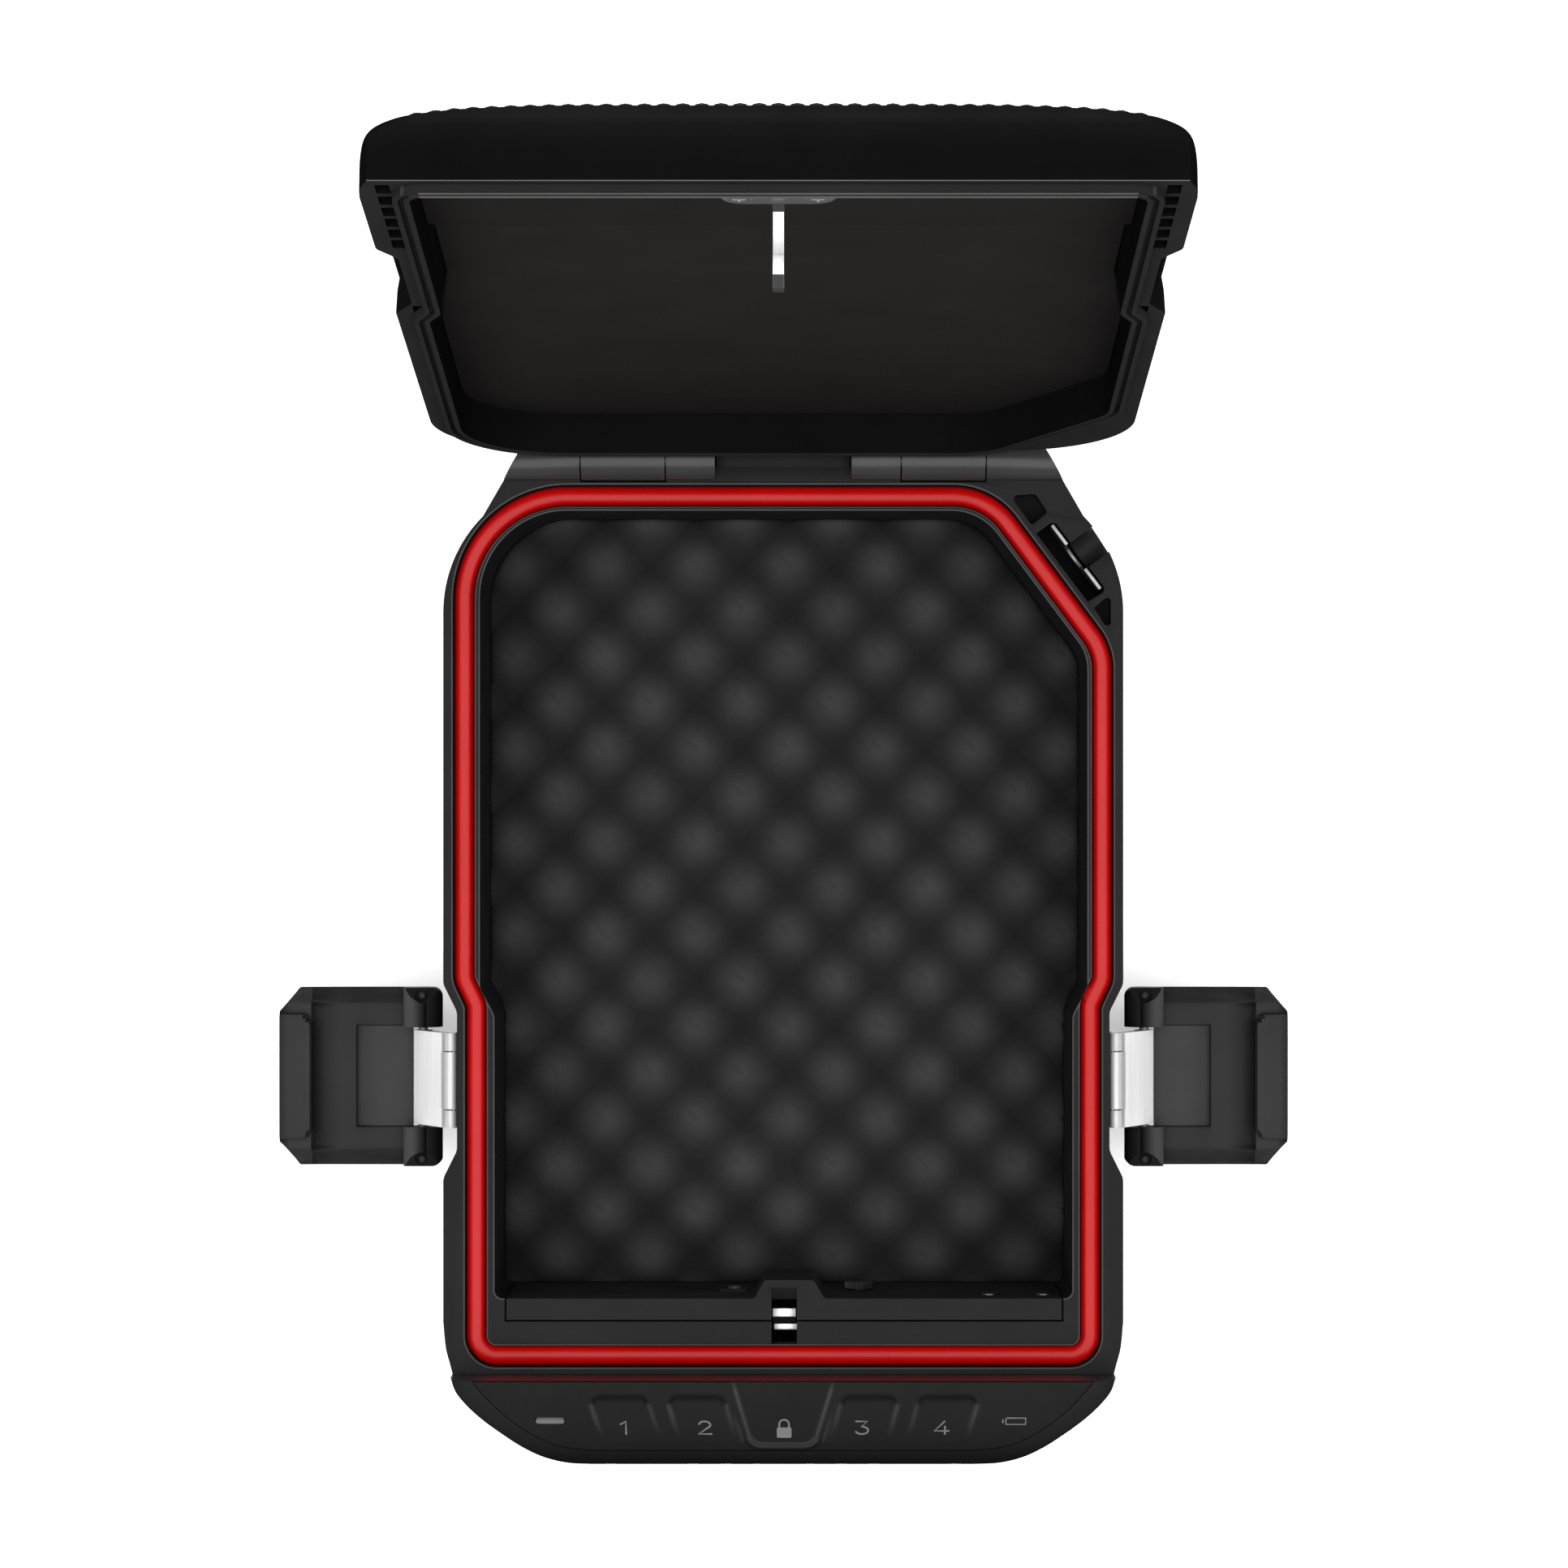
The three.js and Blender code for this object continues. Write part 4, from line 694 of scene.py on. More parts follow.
def lid_shell():
    o = loft([[(x, y, z) for x, y in offset(LID_OUT, d)] for d, z in ((0.16, LID_Z), (0.0, LID_Z + 0.16), (0.0, 66))])
    common(o, along_y(CROWN_ALL, -120, 120))
    front = [(-101.6, 30), (112.6, 30), (112.6, 51)] + spline([(112.4, 52), (111.6, 55), (108.5, 58.6), (103, 61.4), (96, 62.5)], 4) + [(-101.6, 62.5)]
    common(o, along_x(front, -100, 100))
    common(o, loft([[(x, y, z) for x, z in lower(d)] for y, d in
                    ((115, 0.0), (-98.4, 0.0), (-99.4, 0.12), (-100.2, 0.45), (-100.9, 1.1), (-101.3, 1.9), (-101.7, 3.5))]))
    cut(o, prism(rounded(LID_CAV, 4), 30, 49.2), prism(rounded(LID_TOP, 6), 48.8, 54.6), prism(rounded([(-58, 92, 14), (-58, -84, 8), (58, -84, 8), (58, 92, 14)], 10), 50, 57.2))
    add(o, box(-12.5, 12.5, -97, -84.6, 48.2, 56))
    t = prism(rounded(inset(SEAL, -1.65), 4), LID_Z - 1.8, LID_Z + 1)
    cut(t, prism(rounded(inset(SEAL, 1.7), 4), 30, 60))
    g = prism(rounded(inset(SEAL, -0.62), 4), 40, LID_Z - 0.5)
    cut(g, prism(rounded(inset(SEAL, 0.55), 4), 30, 60))
    cut(t, g)
    add(o, t, box(-70, 70, -99.43, -98.44, LID_Z - 1.86, LID_Z - 1), box(-70, 70, -97.23, -96.12, LID_Z - 1.86, LID_Z - 1))
    cut(o, box(-11.9, 11.9, -95.0, -80, 30, 48.2))
    for s in (-1, 1):
        rp = [(77, 47.8), (79.4, 47.8), (80.3, 48.8), (80.3, 51.7), (77, 51.7)]
        add(o, along_y(rp if s > 0 else mirror(rp), LATCH_Y - 16.2, LATCH_Y + 16.2))
        for i in range(6):
            yc = -58.8 - i * 7.4
            x0, x1 = (75.75, 78.6) if s > 0 else (-78.6, -75.75)
            cut(o, box(x0, x1, yc - 2.8, yc + 2.8, 40, LID_Z + 4))
        tri = [(-78.3, -8.2), (-78.3, -13.2), (-76.1, -13.2)]
        cut(o, prism(tri if s < 0 else mirror(tri), 40, LID_Z + 3))
        x0, x1 = (-48.45, -28.45) if s < 0 else (28.45, 48.45)
        add(o, rod("x", HR, HY, HZ, x0, x1, 64),
            along_x([(HY - 6.2, LID_Z), (HY - 2.6, LID_Z), (HY - 1.0, HZ + 4.7), (HY - 6.2, HZ + 8)], x0, x1))
        cut(o, rod("x", PIN_R + 0.35, HY, HZ, x0 - 1, x1 + 1, 24))
    rec = prism(rounded([(-75.1, 104.6, 21), (-75.1, -100.3, 3.3), (75.1, -100.3, 3.3), (75.1, 104.6, 21)], 6), 40, 70)
    cut(rec, along_y(lower(1.3), -130, 130))
    cut(o, rec)
    for x in (-7.8, 7.8):
        cut(o, rod("z", 1.55, x, -89.6, 40, 54, 24))
    soften(o, 0.3, 2)
    # The lid's faces are sorted into lit and shaded copies of one black plastic: painted shade on the outside, painted
    # light on the rim, ceiling, sides and tongue, painted highlights on rounded edges, the tongue's ridges and the
    # lower front chamfer, and a painted shading ramp on the front roll.
    c, n, k = faces_of(o)
    skin_out = (signed(LID_OUT, c[:, 0], c[:, 1]) < 0.7) & (c[:, 2] > LID_Z + 0.05)
    k[(k == 0) & ~skin_out & (n[:, 2] < -0.5)] = 2                 # rim, ceiling: lighter copy, painted light
    k[(k == 0) & (c[:, 2] < LID_Z + 0.02)] = 2                     # tongue: lighter copy, painted light
    k[(k == 1) & ((c[:, 2] > 56) | (skin_out & (c[:, 1] > -100.9)))] = 0
    front = (c[:, 1] < -95.6) & (np.abs(c[:, 0]) < 75.4)
    k[(k == 2) & ~front] = 4
    k[(k == 1) & ~front & ((c[:, 1] > -100.9) | (c[:, 2] < LID_Z + 0.4))] = 5
    k[((k == 4) | (k == 5)) & (c[:, 2] > 46.4)] = 0
    k[front & (k == 2) & (c[:, 1] > -98.0) & (n[:, 1] < -0.7) & (c[:, 2] < LID_Z)] = 6
    k[front & (k == 2) & (c[:, 2] < LID_Z - 1.82) & (n[:, 2] < -0.7)] = 7
    k[(k == 0) & (c[:, 1] < -93) & (n[:, 1] < -0.2)] = 8
    low = (c[:, 2] > LID_Z + 0.02) & (c[:, 2] < LID_Z + 0.15) & (n[:, 2] < -0.45) & (n[:, 2] > -0.9)
    k[low & (c[:, 1] < -101.2) & (np.abs(c[:, 0]) < 79.9)] = 1
    k[low & (c[:, 1] > -101.2) & skin_out] = 0
    # the lid's knuckles take the lighter knuckle copy: a painted highlight
    r = np.hypot(c[:, 1] - HY, c[:, 2] - HZ)
    k[(r < HR + 0.2) & (r > HR - 0.6) & (np.abs(c[:, 0]) > 28.3) & (np.abs(c[:, 0]) < 48.6)] = 3
    o.data.polygons.foreach_set("material_index", k)
    return finish_mesh(o, "lid_shell_body", [MAT[m] for m in ("lid_out", "lid_edge_highlight", "lid_rim", "knuckle", "lid_side", "lid_line_highlight", "lid_tongue_lit", "lid_ridge_highlight", "lid_front_shading")], "lid", ("lid_shell",), turn=LID_TURN)


def liner():
    """Moulded tray lying against the inside of the lid."""
    out = rounded(inset(LID_TOP, 0.25), 8)
    o = prism(out, 53.0, 54.3)
    cut(o, box(-12.9, 12.9, -97, -84.2, 50, 56))
    soften(o, 0.2, 2)
    o.data.polygons.foreach_set("material_index", np.zeros(len(o.data.polygons), int))
    return finish_mesh(o, "lid_liner_tray", MAT["liner"], "lid", ("lid_liner",), turn=LID_TURN)


def hook():
    """Flange under two screws with the blade that the bolt holds."""
    o = prism(rounded([(-11.4, -94.0, 1), (11.4, -94.0, 1), (11.4, -84.4, 4.5), (-11.4, -84.4, 4.5)], 12), 45.75, 47.9)
    c = o
    soften(c, 0.2, 2)
    c.data.polygons.foreach_set("material_index", np.zeros(len(c.data.polygons), int))
    b = box(-1.15, 1.05, -86.0, -81.75, 28.5, 47.0)
    cut(b, along_x([(-87, 27), (-84.3, 27), (-84.9, 28.5), (-86.0, 31.0), (-87, 31)], -5, 5), box(-3, 3, -90, -83.3, 34.9, 44.6), along_x([(-90, 44.5), (-83.3, 44.5), (-86.2, 47.4), (-90, 47.4)], -3, 3))
    soften(b, 0.12, 2)
    # the blade's downward faces take the dark tip copy: painted shade
    b.data.polygons.foreach_set("material_index", (faces_of(b)[1][:, 2] < -0.3).astype(int))
    finish_mesh(b, "strike_hook_blade", [MAT["steel"], MAT["hook_tip_shade"]], "lid", ("strike_hook",), turn=LID_TURN)
    return finish_mesh(c, "strike_hook_flange", MAT["flange"], "lid", ("strike_hook",), turn=LID_TURN)


def hook_screw(side):
    """Raised round screw head with a cross recess."""
    x, y, z, n = side * 7.8, -89.4, 45.8, 40
    prof = [(2.75, 0.0), (2.75, 0.2), (2.55, 0.42), (2.1, 0.56), (1.4, 0.65)]
    verts, faces = [], []
    for r, h in prof:
        verts += [(x + r * math.cos(2 * math.pi * i / n), y + r * math.sin(2 * math.pi * i / n), z - h) for i in range(n)]
    for k in range(len(prof) - 1):
        faces += [(k * n + i, k * n + (i + 1) % n, (k + 1) * n + (i + 1) % n, (k + 1) * n + i)[::-1] for i in range(n)]
    faces += [tuple(range(n)), tuple((len(prof) - 1) * n + i for i in range(n))[::-1]]
    o = raw(verts, faces)
    cut(o, box(x - 1.3, x + 1.3, y - 0.28, y + 0.28, 44.5, 45.5), box(x - 0.28, x + 0.28, y - 1.3, y + 1.3, 44.5, 45.5))
    o.data.polygons.foreach_set("material_index", (faces_of(o)[1][:, 2] < -0.9).astype(int))
    t = "left" if side < 0 else "right"
    return finish_mesh(o, "hook_screw_%s_head" % t, [MAT["chrome"], MAT["flange"]], "lid", ("hook_screw_" + t,), sharp=30, turn=LID_TURN)


def grip_panel():
    """Rubber grip on the lid: a thin sheet with staggered six-sided studs."""
    out = rounded([(-74.2, 104, 20), (-74.2, -99.9, 3), (74.2, -99.9, 3), (74.2, 104, 20)], 6)
    v, f = fill(out, (), grid(-73, 73, -98, 104, 4.0), 2.0)
    z = crown(v[:, 0])
    edge = smoothstep(0, 1.6, edge_dist(out, v[:, 0], v[:, 1]))
    front = np.clip(-97.6 - v[:, 1], 0, 9) ** 2 * 0.12
    rear = np.clip(v[:, 1] - 100, 0, 9) ** 2 * 0.045
    top = np.column_stack([v, z - 0.95 + 0.35 * edge - rear * 0.2 - front])
    verts, faces = plate(v, f, top, np.column_stack([v, z - 1.2 - rear * 0.2 - front]))
    verts, pitch = [tuple(p) for p in verts], 3.73
    rows = int(200 / (pitch * 0.866))
    for r in range(rows + 1):
        y = -97.55 + r * pitch * 0.866
        for c in range(-20, 21):
            x = (c + (0.5 if r % 2 else 0.0)) * pitch
            if signed(out, np.array([x]), np.array([y]))[0] < 1.5:
                continue
            k = len(verts)
            for rr, h in ((1.72, -0.75), (1.62, 0.0), (1.3, 0.27)):
                for a in range(6):
                    px, py = x + rr * math.sin(a * math.pi / 3), y + rr * math.cos(a * math.pi / 3)
                    verts.append((px, py, float(crown(px)) + h - max(0.0, py - 100) ** 2 * 0.009))
            for q in range(2):
                for a in range(6):
                    b = (a + 1) % 6
                    faces.append((k + q * 6 + b, k + q * 6 + a, k + q * 6 + 6 + a, k + q * 6 + 6 + b))
            faces.append(tuple(k + 12 + a for a in range(6))[::-1])
            faces.append(tuple(k + a for a in range(6)))
    o = raw(verts, faces)
    c, n, k = faces_of(o)
    # faces of the grip's front edge take the lighter line copy: a painted highlight
    o.data.polygons.foreach_set("material_index", np.where((c[:, 1] < -96.2) & (n[:, 1] < 0.2) & (n[:, 2] < 0.97), 1, 0))
    return finish_mesh(o, "grip_studs", [MAT["grip"], MAT["lid_line_highlight"]], "lid", ("lid_grip_panel",), sharp=25, turn=LID_TURN)


# ---------------------------------------------------------------- seal and foam
def rim_seal():
    path = densify(rounded(SEAL, 3), 3.0)
    p = np.array(path)
    e = np.roll(p, -1, 0) - p
    e /= np.linalg.norm(e, axis=1, keepdims=True)
    nrm = np.stack([-e[:, 1], e[:, 0]], 1)
    m = nrm + np.roll(nrm, 1, 0)
    m /= (m * nrm).sum(1, keepdims=True)
    prof = [(-1.9, 40.95), (1.9, 40.95)] + [(2.36 * math.cos(a * RAD), 41.55 + 1.88 * math.sin(a * RAD)) for a in range(-12, 193, 12)]
    verts, faces, k, n = [], [], len(prof), len(p)
    for i in range(n):
        for u, z in prof:
            verts.append((p[i, 0] - m[i, 0] * u, p[i, 1] - m[i, 1] * u, z))
    for i in range(n):
        j = (i + 1) % n
        for a in range(k):
            b = (a + 1) % k
            faces.append((i * k + a, i * k + b, j * k + b, j * k + a))
    return finish_mesh(raw(verts, faces), "seal_tube", MAT["seal"], "base", ("rim_seal",), sharp=60)


def foam():
    out = rounded(inset(CAVITY, 0.15), 5)
    v, f = fill(out, (), grid(-73, 73, -84, 106, 0.9), 0.9)
    x, y = v[:, 0], v[:, 1]
    a, b = 22.83, 22.96
    px, py = x - 1.1, y - 94.6
    u, w = px / a + py / b, px / a - py / b
    cu, cw = np.abs(np.cos(np.pi * u)), np.abs(np.cos(np.pi * w))
    du, dw = u - np.round(u), w - np.round(w)
    h = 0.25 * (2 - (1 - cu) ** 1.5 - (1 - cw) ** 1.6) + 0.25 * (cu ** 2 + cw ** 2)
    groove = np.exp(-(du / 0.032) ** 2) * smoothstep(-0.24, -0.14, dw) * (1 - smoothstep(0.0, 0.04, dw))
    h = h - 0.05 * groove
    # painted light and shade: lighter on the pillow tops, darker in the saddles, along the creases and in the groove
    pu, pw = 0.45 * (1 - np.abs(2 * du) ** 1.6) + 0.55 * cu ** 2, 0.45 * (1 - np.abs(2 * dw) ** 1.6) + 0.55 * cw ** 2
    painted_light_tone = 0.275 + 0.39 * pu * pw + 0.095 * (pu + pw)
    painted_light_tone = painted_light_tone * (1 - 0.08 * np.exp(-((0.5 - np.abs(dw)) / 0.03) ** 2) - 0.03 * np.exp(-((0.5 - np.abs(du)) / 0.035) ** 2))
    painted_light_tone = painted_light_tone * (1 - 0.16 * groove)
    dim = np.exp(-(((u - np.round(u)) ** 2 + (w - np.round(w)) ** 2) / 0.0022))
    rng = np.random.default_rng(7)
    ph = rng.uniform(0, 6.28, 8)
    wob = sum(np.sin(x * (0.05 + 0.023 * i) * (1 if i % 2 else -1) + y * (0.04 + 0.019 * i) + ph[i]) for i in range(8)) / 8
    z = 5.9 + 4.9 * h - 0.2 * dim + 0.12 * wob
    d = edge_dist(out, x, y)
    z = z - 0.5 * (1 - smoothstep(0, 1.2, d))
    z = np.clip(z, 5.9, 10.95)
    top = np.column_stack([v, z])
    # painted shade near the side and front walls and a dark line at the very edge, with some random mottle; painted
    # light along the rear edge
    painted_light_tone = painted_light_tone * (1 - 0.2 * (1 - smoothstep(0.0, 6.0, d)) * (1 - smoothstep(96, 103, y))) * (1 + 0.16 * wob) * (1 - 0.4 * np.exp(-(d / 0.3) ** 2))
    painted_light_tone = painted_light_tone * (1 + 0.3 * smoothstep(99, 106, y))
    o = raw(*plate(v, f, top, np.column_stack([v, np.full(len(v), 5.55)])))
    paint(o, np.tile(painted_light_tone, 2))
    finish_mesh(o, "foam_egg_crate", MAT["foam"], "base", ("foam_pad",), sharp=60)
    return o


# ---------------------------------------------------------------- keypad
T40, N40 = (math.cos(40 * RAD), math.sin(40 * RAD)), (-math.sin(40 * RAD), math.cos(40 * RAD))
KEYS = {
    "key_1": [(-45.9, 7.6, 2.4), (-42.2, -9.3, 1.6), (-29.1, -9.3, 1.6), (-32.8, 7.6, 2.4)],
    "key_2": [(-27.4, 7.6, 2.4), (-24.0, -9.3, 1.6), (-11.3, -9.3, 1.6), (-14.3, 7.6, 2.4)],
    "key_3": [(14.5, 7.6, 2.4), (11.3, -9.3, 1.6), (24.4, -9.3, 1.6), (27.3, 7.6, 2.4)],
    "key_4": [(32.7, 7.6, 2.4), (29.6, -9.3, 1.6), (43.1, -9.3, 1.6), (46.3, 7.6, 2.4)],
    "key_lock": [(-10.7, 7.9, 1.0), (-6.6, -9.6, 3), (6.5, -9.6, 3), (10.8, 7.9, 1.0)],
}


def to_plan(pts):
    """Outline in the key frame carried along the key axis onto the skin, seen in plan."""
    out = []
    for x, yp in pts:
        h = 0.0
        for _ in range(12):
            y, z = -111.5 + yp * T40[0] + h * N40[0], 55.45 + yp * T40[1] + h * N40[1]
            h += (float(face_z(y)) - z) * 0.55
        out.append((x, -111.5 + yp * T40[0] + h * N40[0]))
    return out


KEY_PLAN = {k: to_plan(densify(rounded(c, 12), 0.8)) for k, c in KEYS.items()}
V_LINE = rounded([(-12.4, -99.5, 0), (-7.3, -118.55, 3.2), (7.2, -118.55, 3.2), (12.45, -99.5, 0)], 8)


def relief(x, y):
    d = np.zeros(len(x))
    for k, poly in KEY_PLAN.items():
        sd = signed(poly, x, y)
        if k == "key_lock":
            continue
        fade = smoothstep(-117.2, -107.5, y)
        d -= 0.5 * fade * smoothstep(-0.6, 1.1, sd)
        top = np.exp(-((y - (-104.6)) / 1.1) ** 2) * smoothstep(-1.4, 0.2, sd) * (1 - smoothstep(0.2, 1.6, sd))
        d -= 0.1 * top
    v = signed(V_LINE, x, y)
    rise = smoothstep(-119.5, -104, y) * 0.25 + 0.45
    d += rise * np.exp(-((v + 0.05) / 0.42) ** 2)
    d -= 0.30 * smoothstep(0.4, 1.2, v) * smoothstep(-119.5, -112, y)
    return d


def face_painted_light(x, y):
    """Painted light and shade on the key face: painted shade darker towards the front and under each key's upper
    edge, painted highlights along the key sides and along the bead that frames the middle key."""
    t = nose_painted_shade(y)
    light = np.zeros(len(x))
    for k, poly in KEY_PLAN.items():
        if k == "key_lock":
            continue
        sd = signed(poly, x, y)
        cx = np.mean([p[0] for p in poly])
        top = np.exp(-((y + 105.35) / 1.2) ** 2) * smoothstep(-0.2, 1.1, sd)
        corner = np.exp(-((sd - 0.35) / 0.75) ** 2) * np.exp(-((y + 106.1) / 1.5) ** 2) * (1 - smoothstep(-105.0, -104.2, y))
        t = t * (1 - 0.66 * np.maximum(top, 0.8 * corner))
        along = smoothstep(-117.6, -109.2, y) * (1 - smoothstep(-107.9, -106.9, y))
        outer = (x - cx) * (1 if cx > 0 else -1) > 0
        light += np.exp(-((sd + 0.3) / 0.5) ** 2) * along * np.where(outer, 1.75, 1.3)
    v = signed(V_LINE, x, y)
    side = smoothstep(-117.6, -115.4, y)
    light += side * (2.1 + 0.5 * smoothstep(-116, -106, y)) * np.exp(-((v + 0.05) / 0.42) ** 2) * (1 - 0.6 * smoothstep(-104.5, -101.9, y))
    light += (1 - side) * (2.2 * np.exp(-((v - 0.45) / 0.27) ** 2) + 2.7 * np.exp(-((v + 0.5) / 0.3) ** 2))
    light += 1.0 * np.exp(-((v + 2.0) / 0.38) ** 2) * (1 - smoothstep(-114.5, -108.5, y)) * smoothstep(-118.2, -117.2, y)
    t = t * (1 - 0.4 * (1 - side) * np.exp(-((v + 1.35) / 0.45) ** 2))
    return t * (1 + light)


def surface(v):
    x, y = v[:, 0], v[:, 1]
    return np.column_stack([v, skin(x, y) + relief(x, y)])


def keypad():
    pts = grid(-72, 72, -120.2, -101.9, 0.5)
    holes = [offset(p, -0.012) for p in KEY_PLAN.values()]
    pill = rounded([(-59.25, -110.85, 0.95), (-59.25, -112.75, 0.95), (-51.75, -112.75, 0.95), (-51.75, -110.85, 0.95)], 12)
    v, f = fill([(x, y) for x, y in offset(PANEL, 0.03)], holes + [pill], pts, 0.5)
    top = surface(v)
    n = np.array([0, N40[0], N40[1]])
    low = top - n * 1.9
    low[:, 1] = np.minimum(low[:, 1], WALL_Y)
    o = raw(*plate(v, f, top, low))
    # painted light and shade on the key face, and below on each key cap
    paint(o, np.tile(face_painted_light(v[:, 0], v[:, 1]), 2))
    finish_mesh(o, "keypad_face", MAT["face"], "base", ("keypad_panel",), sharp=40)
    for k, poly in KEY_PLAN.items():
        x0, x1 = min(p[0] for p in poly), max(p[0] for p in poly)
        y0, y1 = min(p[1] for p in poly), max(p[1] for p in poly)
        v, f = fill(offset(poly, 0.012), (), grid(x0, x1, y0, y1, 0.45), 0.45)
        top = surface(v)
        o = raw(*plate(v, f, top, top - n * 2.4))
        paint(o, np.tile(face_painted_light(v[:, 0], v[:, 1]), 2))
        finish_mesh(o, k + "_cap", MAT["face"], k.replace("key", "keycap"), (k,), sharp=40)


def strokes(lines, w):
    """Outlines of round-ended strokes along open point lists."""
    polys = []
    for ln in lines:
        p = np.array(ln, float)
        e = np.diff(p, axis=0)
        e /= np.linalg.norm(e, axis=1, keepdims=True)
        en = np.vstack([e[:1], (e[:-1] + e[1:]) if len(e) > 1 else e[:0], e[-1:]])
        en /= np.linalg.norm(en, axis=1, keepdims=True)
        nn = np.stack([-en[:, 1], en[:, 0]], 1) * w / 2
        a0 = math.atan2(en[-1, 1], en[-1, 0])
        b0 = math.atan2(-en[0, 1], -en[0, 0])
        cap1 = [(p[-1, 0] + w / 2 * math.cos(a0 + t * RAD), p[-1, 1] + w / 2 * math.sin(a0 + t * RAD)) for t in (-60, -30, 0, 30, 60)]
        cap0 = [(p[0, 0] + w / 2 * math.cos(b0 + t * RAD), p[0, 1] + w / 2 * math.sin(b0 + t * RAD)) for t in (-60, -30, 0, 30, 60)]
        polys.append([tuple(q) for q in (p - nn)] + cap1 + [tuple(q) for q in (p + nn)][::-1] + cap0)
    return polys


def print_on(name, polys, body, cx, cy):
    """Thin print that lies on the key face; polys in plan millimetres about (cx, cy)."""
    verts, faces, n3 = [], [], np.array([0, N40[0], N40[1]])
    for poly in polys:
        poly = [(cx + x, cy + y) for x, y in poly]
        xs, ys = [p[0] for p in poly], [p[1] for p in poly]
        v, f = fill(poly, (), grid(min(xs), max(xs), min(ys), max(ys), 0.4), 0.25)
        top = surface(v)
        a, b = plate(v, f, top + n3 * 0.035, top - n3 * 0.03)
        k = len(verts)
        verts += [tuple(p) for p in a]
        faces += [tuple(i + k for i in t) for t in b]
    return finish_mesh(raw(verts, faces), name, MAT["print"], body, sharp=40)


def arc_pts(cx, cy, rx, ry, a0, a1, n=14):
    return [(cx + rx * math.cos((a0 + (a1 - a0) * i / n) * RAD), cy + ry * math.sin((a0 + (a1 - a0) * i / n) * RAD)) for i in range(n + 1)]


def prints():
    w = 0.42
    d1 = [[(-0.95, 0.95), (0.28, 1.72), (0.28, -1.72)]]
    d2 = [arc_pts(0, 0.75, 1.38, 0.97, 165, -20, 14) + [(0.75, 0.0), (-1.5, -1.72), (1.6, -1.72)]]
    d3 = [[(-1.4, 1.72), (1.25, 1.72), (-0.1, 0.35)] + arc_pts(0.0, -0.72, 1.5, 1.02, 85, -160, 18)[1:]]
    d4 = [[(0.75, 1.72), (-1.65, -0.85), (1.75, -0.85)], [(0.85, 0.35), (0.85, -1.72)]]
    y = -113.7
    print_on("digit_1", strokes(d1, w), "keycap_1", -37.75, y)
    print_on("digit_2", strokes(d2, w), "keycap_2", -18.7, y)
    print_on("digit_3", strokes(d3, w), "keycap_3", 18.8, y)
    print_on("digit_4", strokes(d4, w), "keycap_4", 37.75, y)
    lock = [rounded([(-1.75, 0.1, 0.35), (-1.75, -2.75, 0.35), (1.75, -2.75, 0.35), (1.75, 0.1, 0.35)], 20)]
    lock += strokes([[(-1.15, 0.0), (-1.15, 0.95)] + arc_pts(0, 1.05, 1.15, 1.15, 180, 0, 12) + [(1.15, 0.95), (1.15, 0.0)]], 0.42)
    print_on("padlock_icon", lock, "keycap_lock", 0.25, -113.75)
    cell = strokes([[(-2.35, 0.85), (2.35, 0.85), (2.35, -0.85), (-2.35, -0.85), (-2.35, 0.85)], [(-3.05, 0.35), (-3.05, -0.35)]], 0.33)
    print_on("battery_icon", cell, "base", 55.4, -111.9)


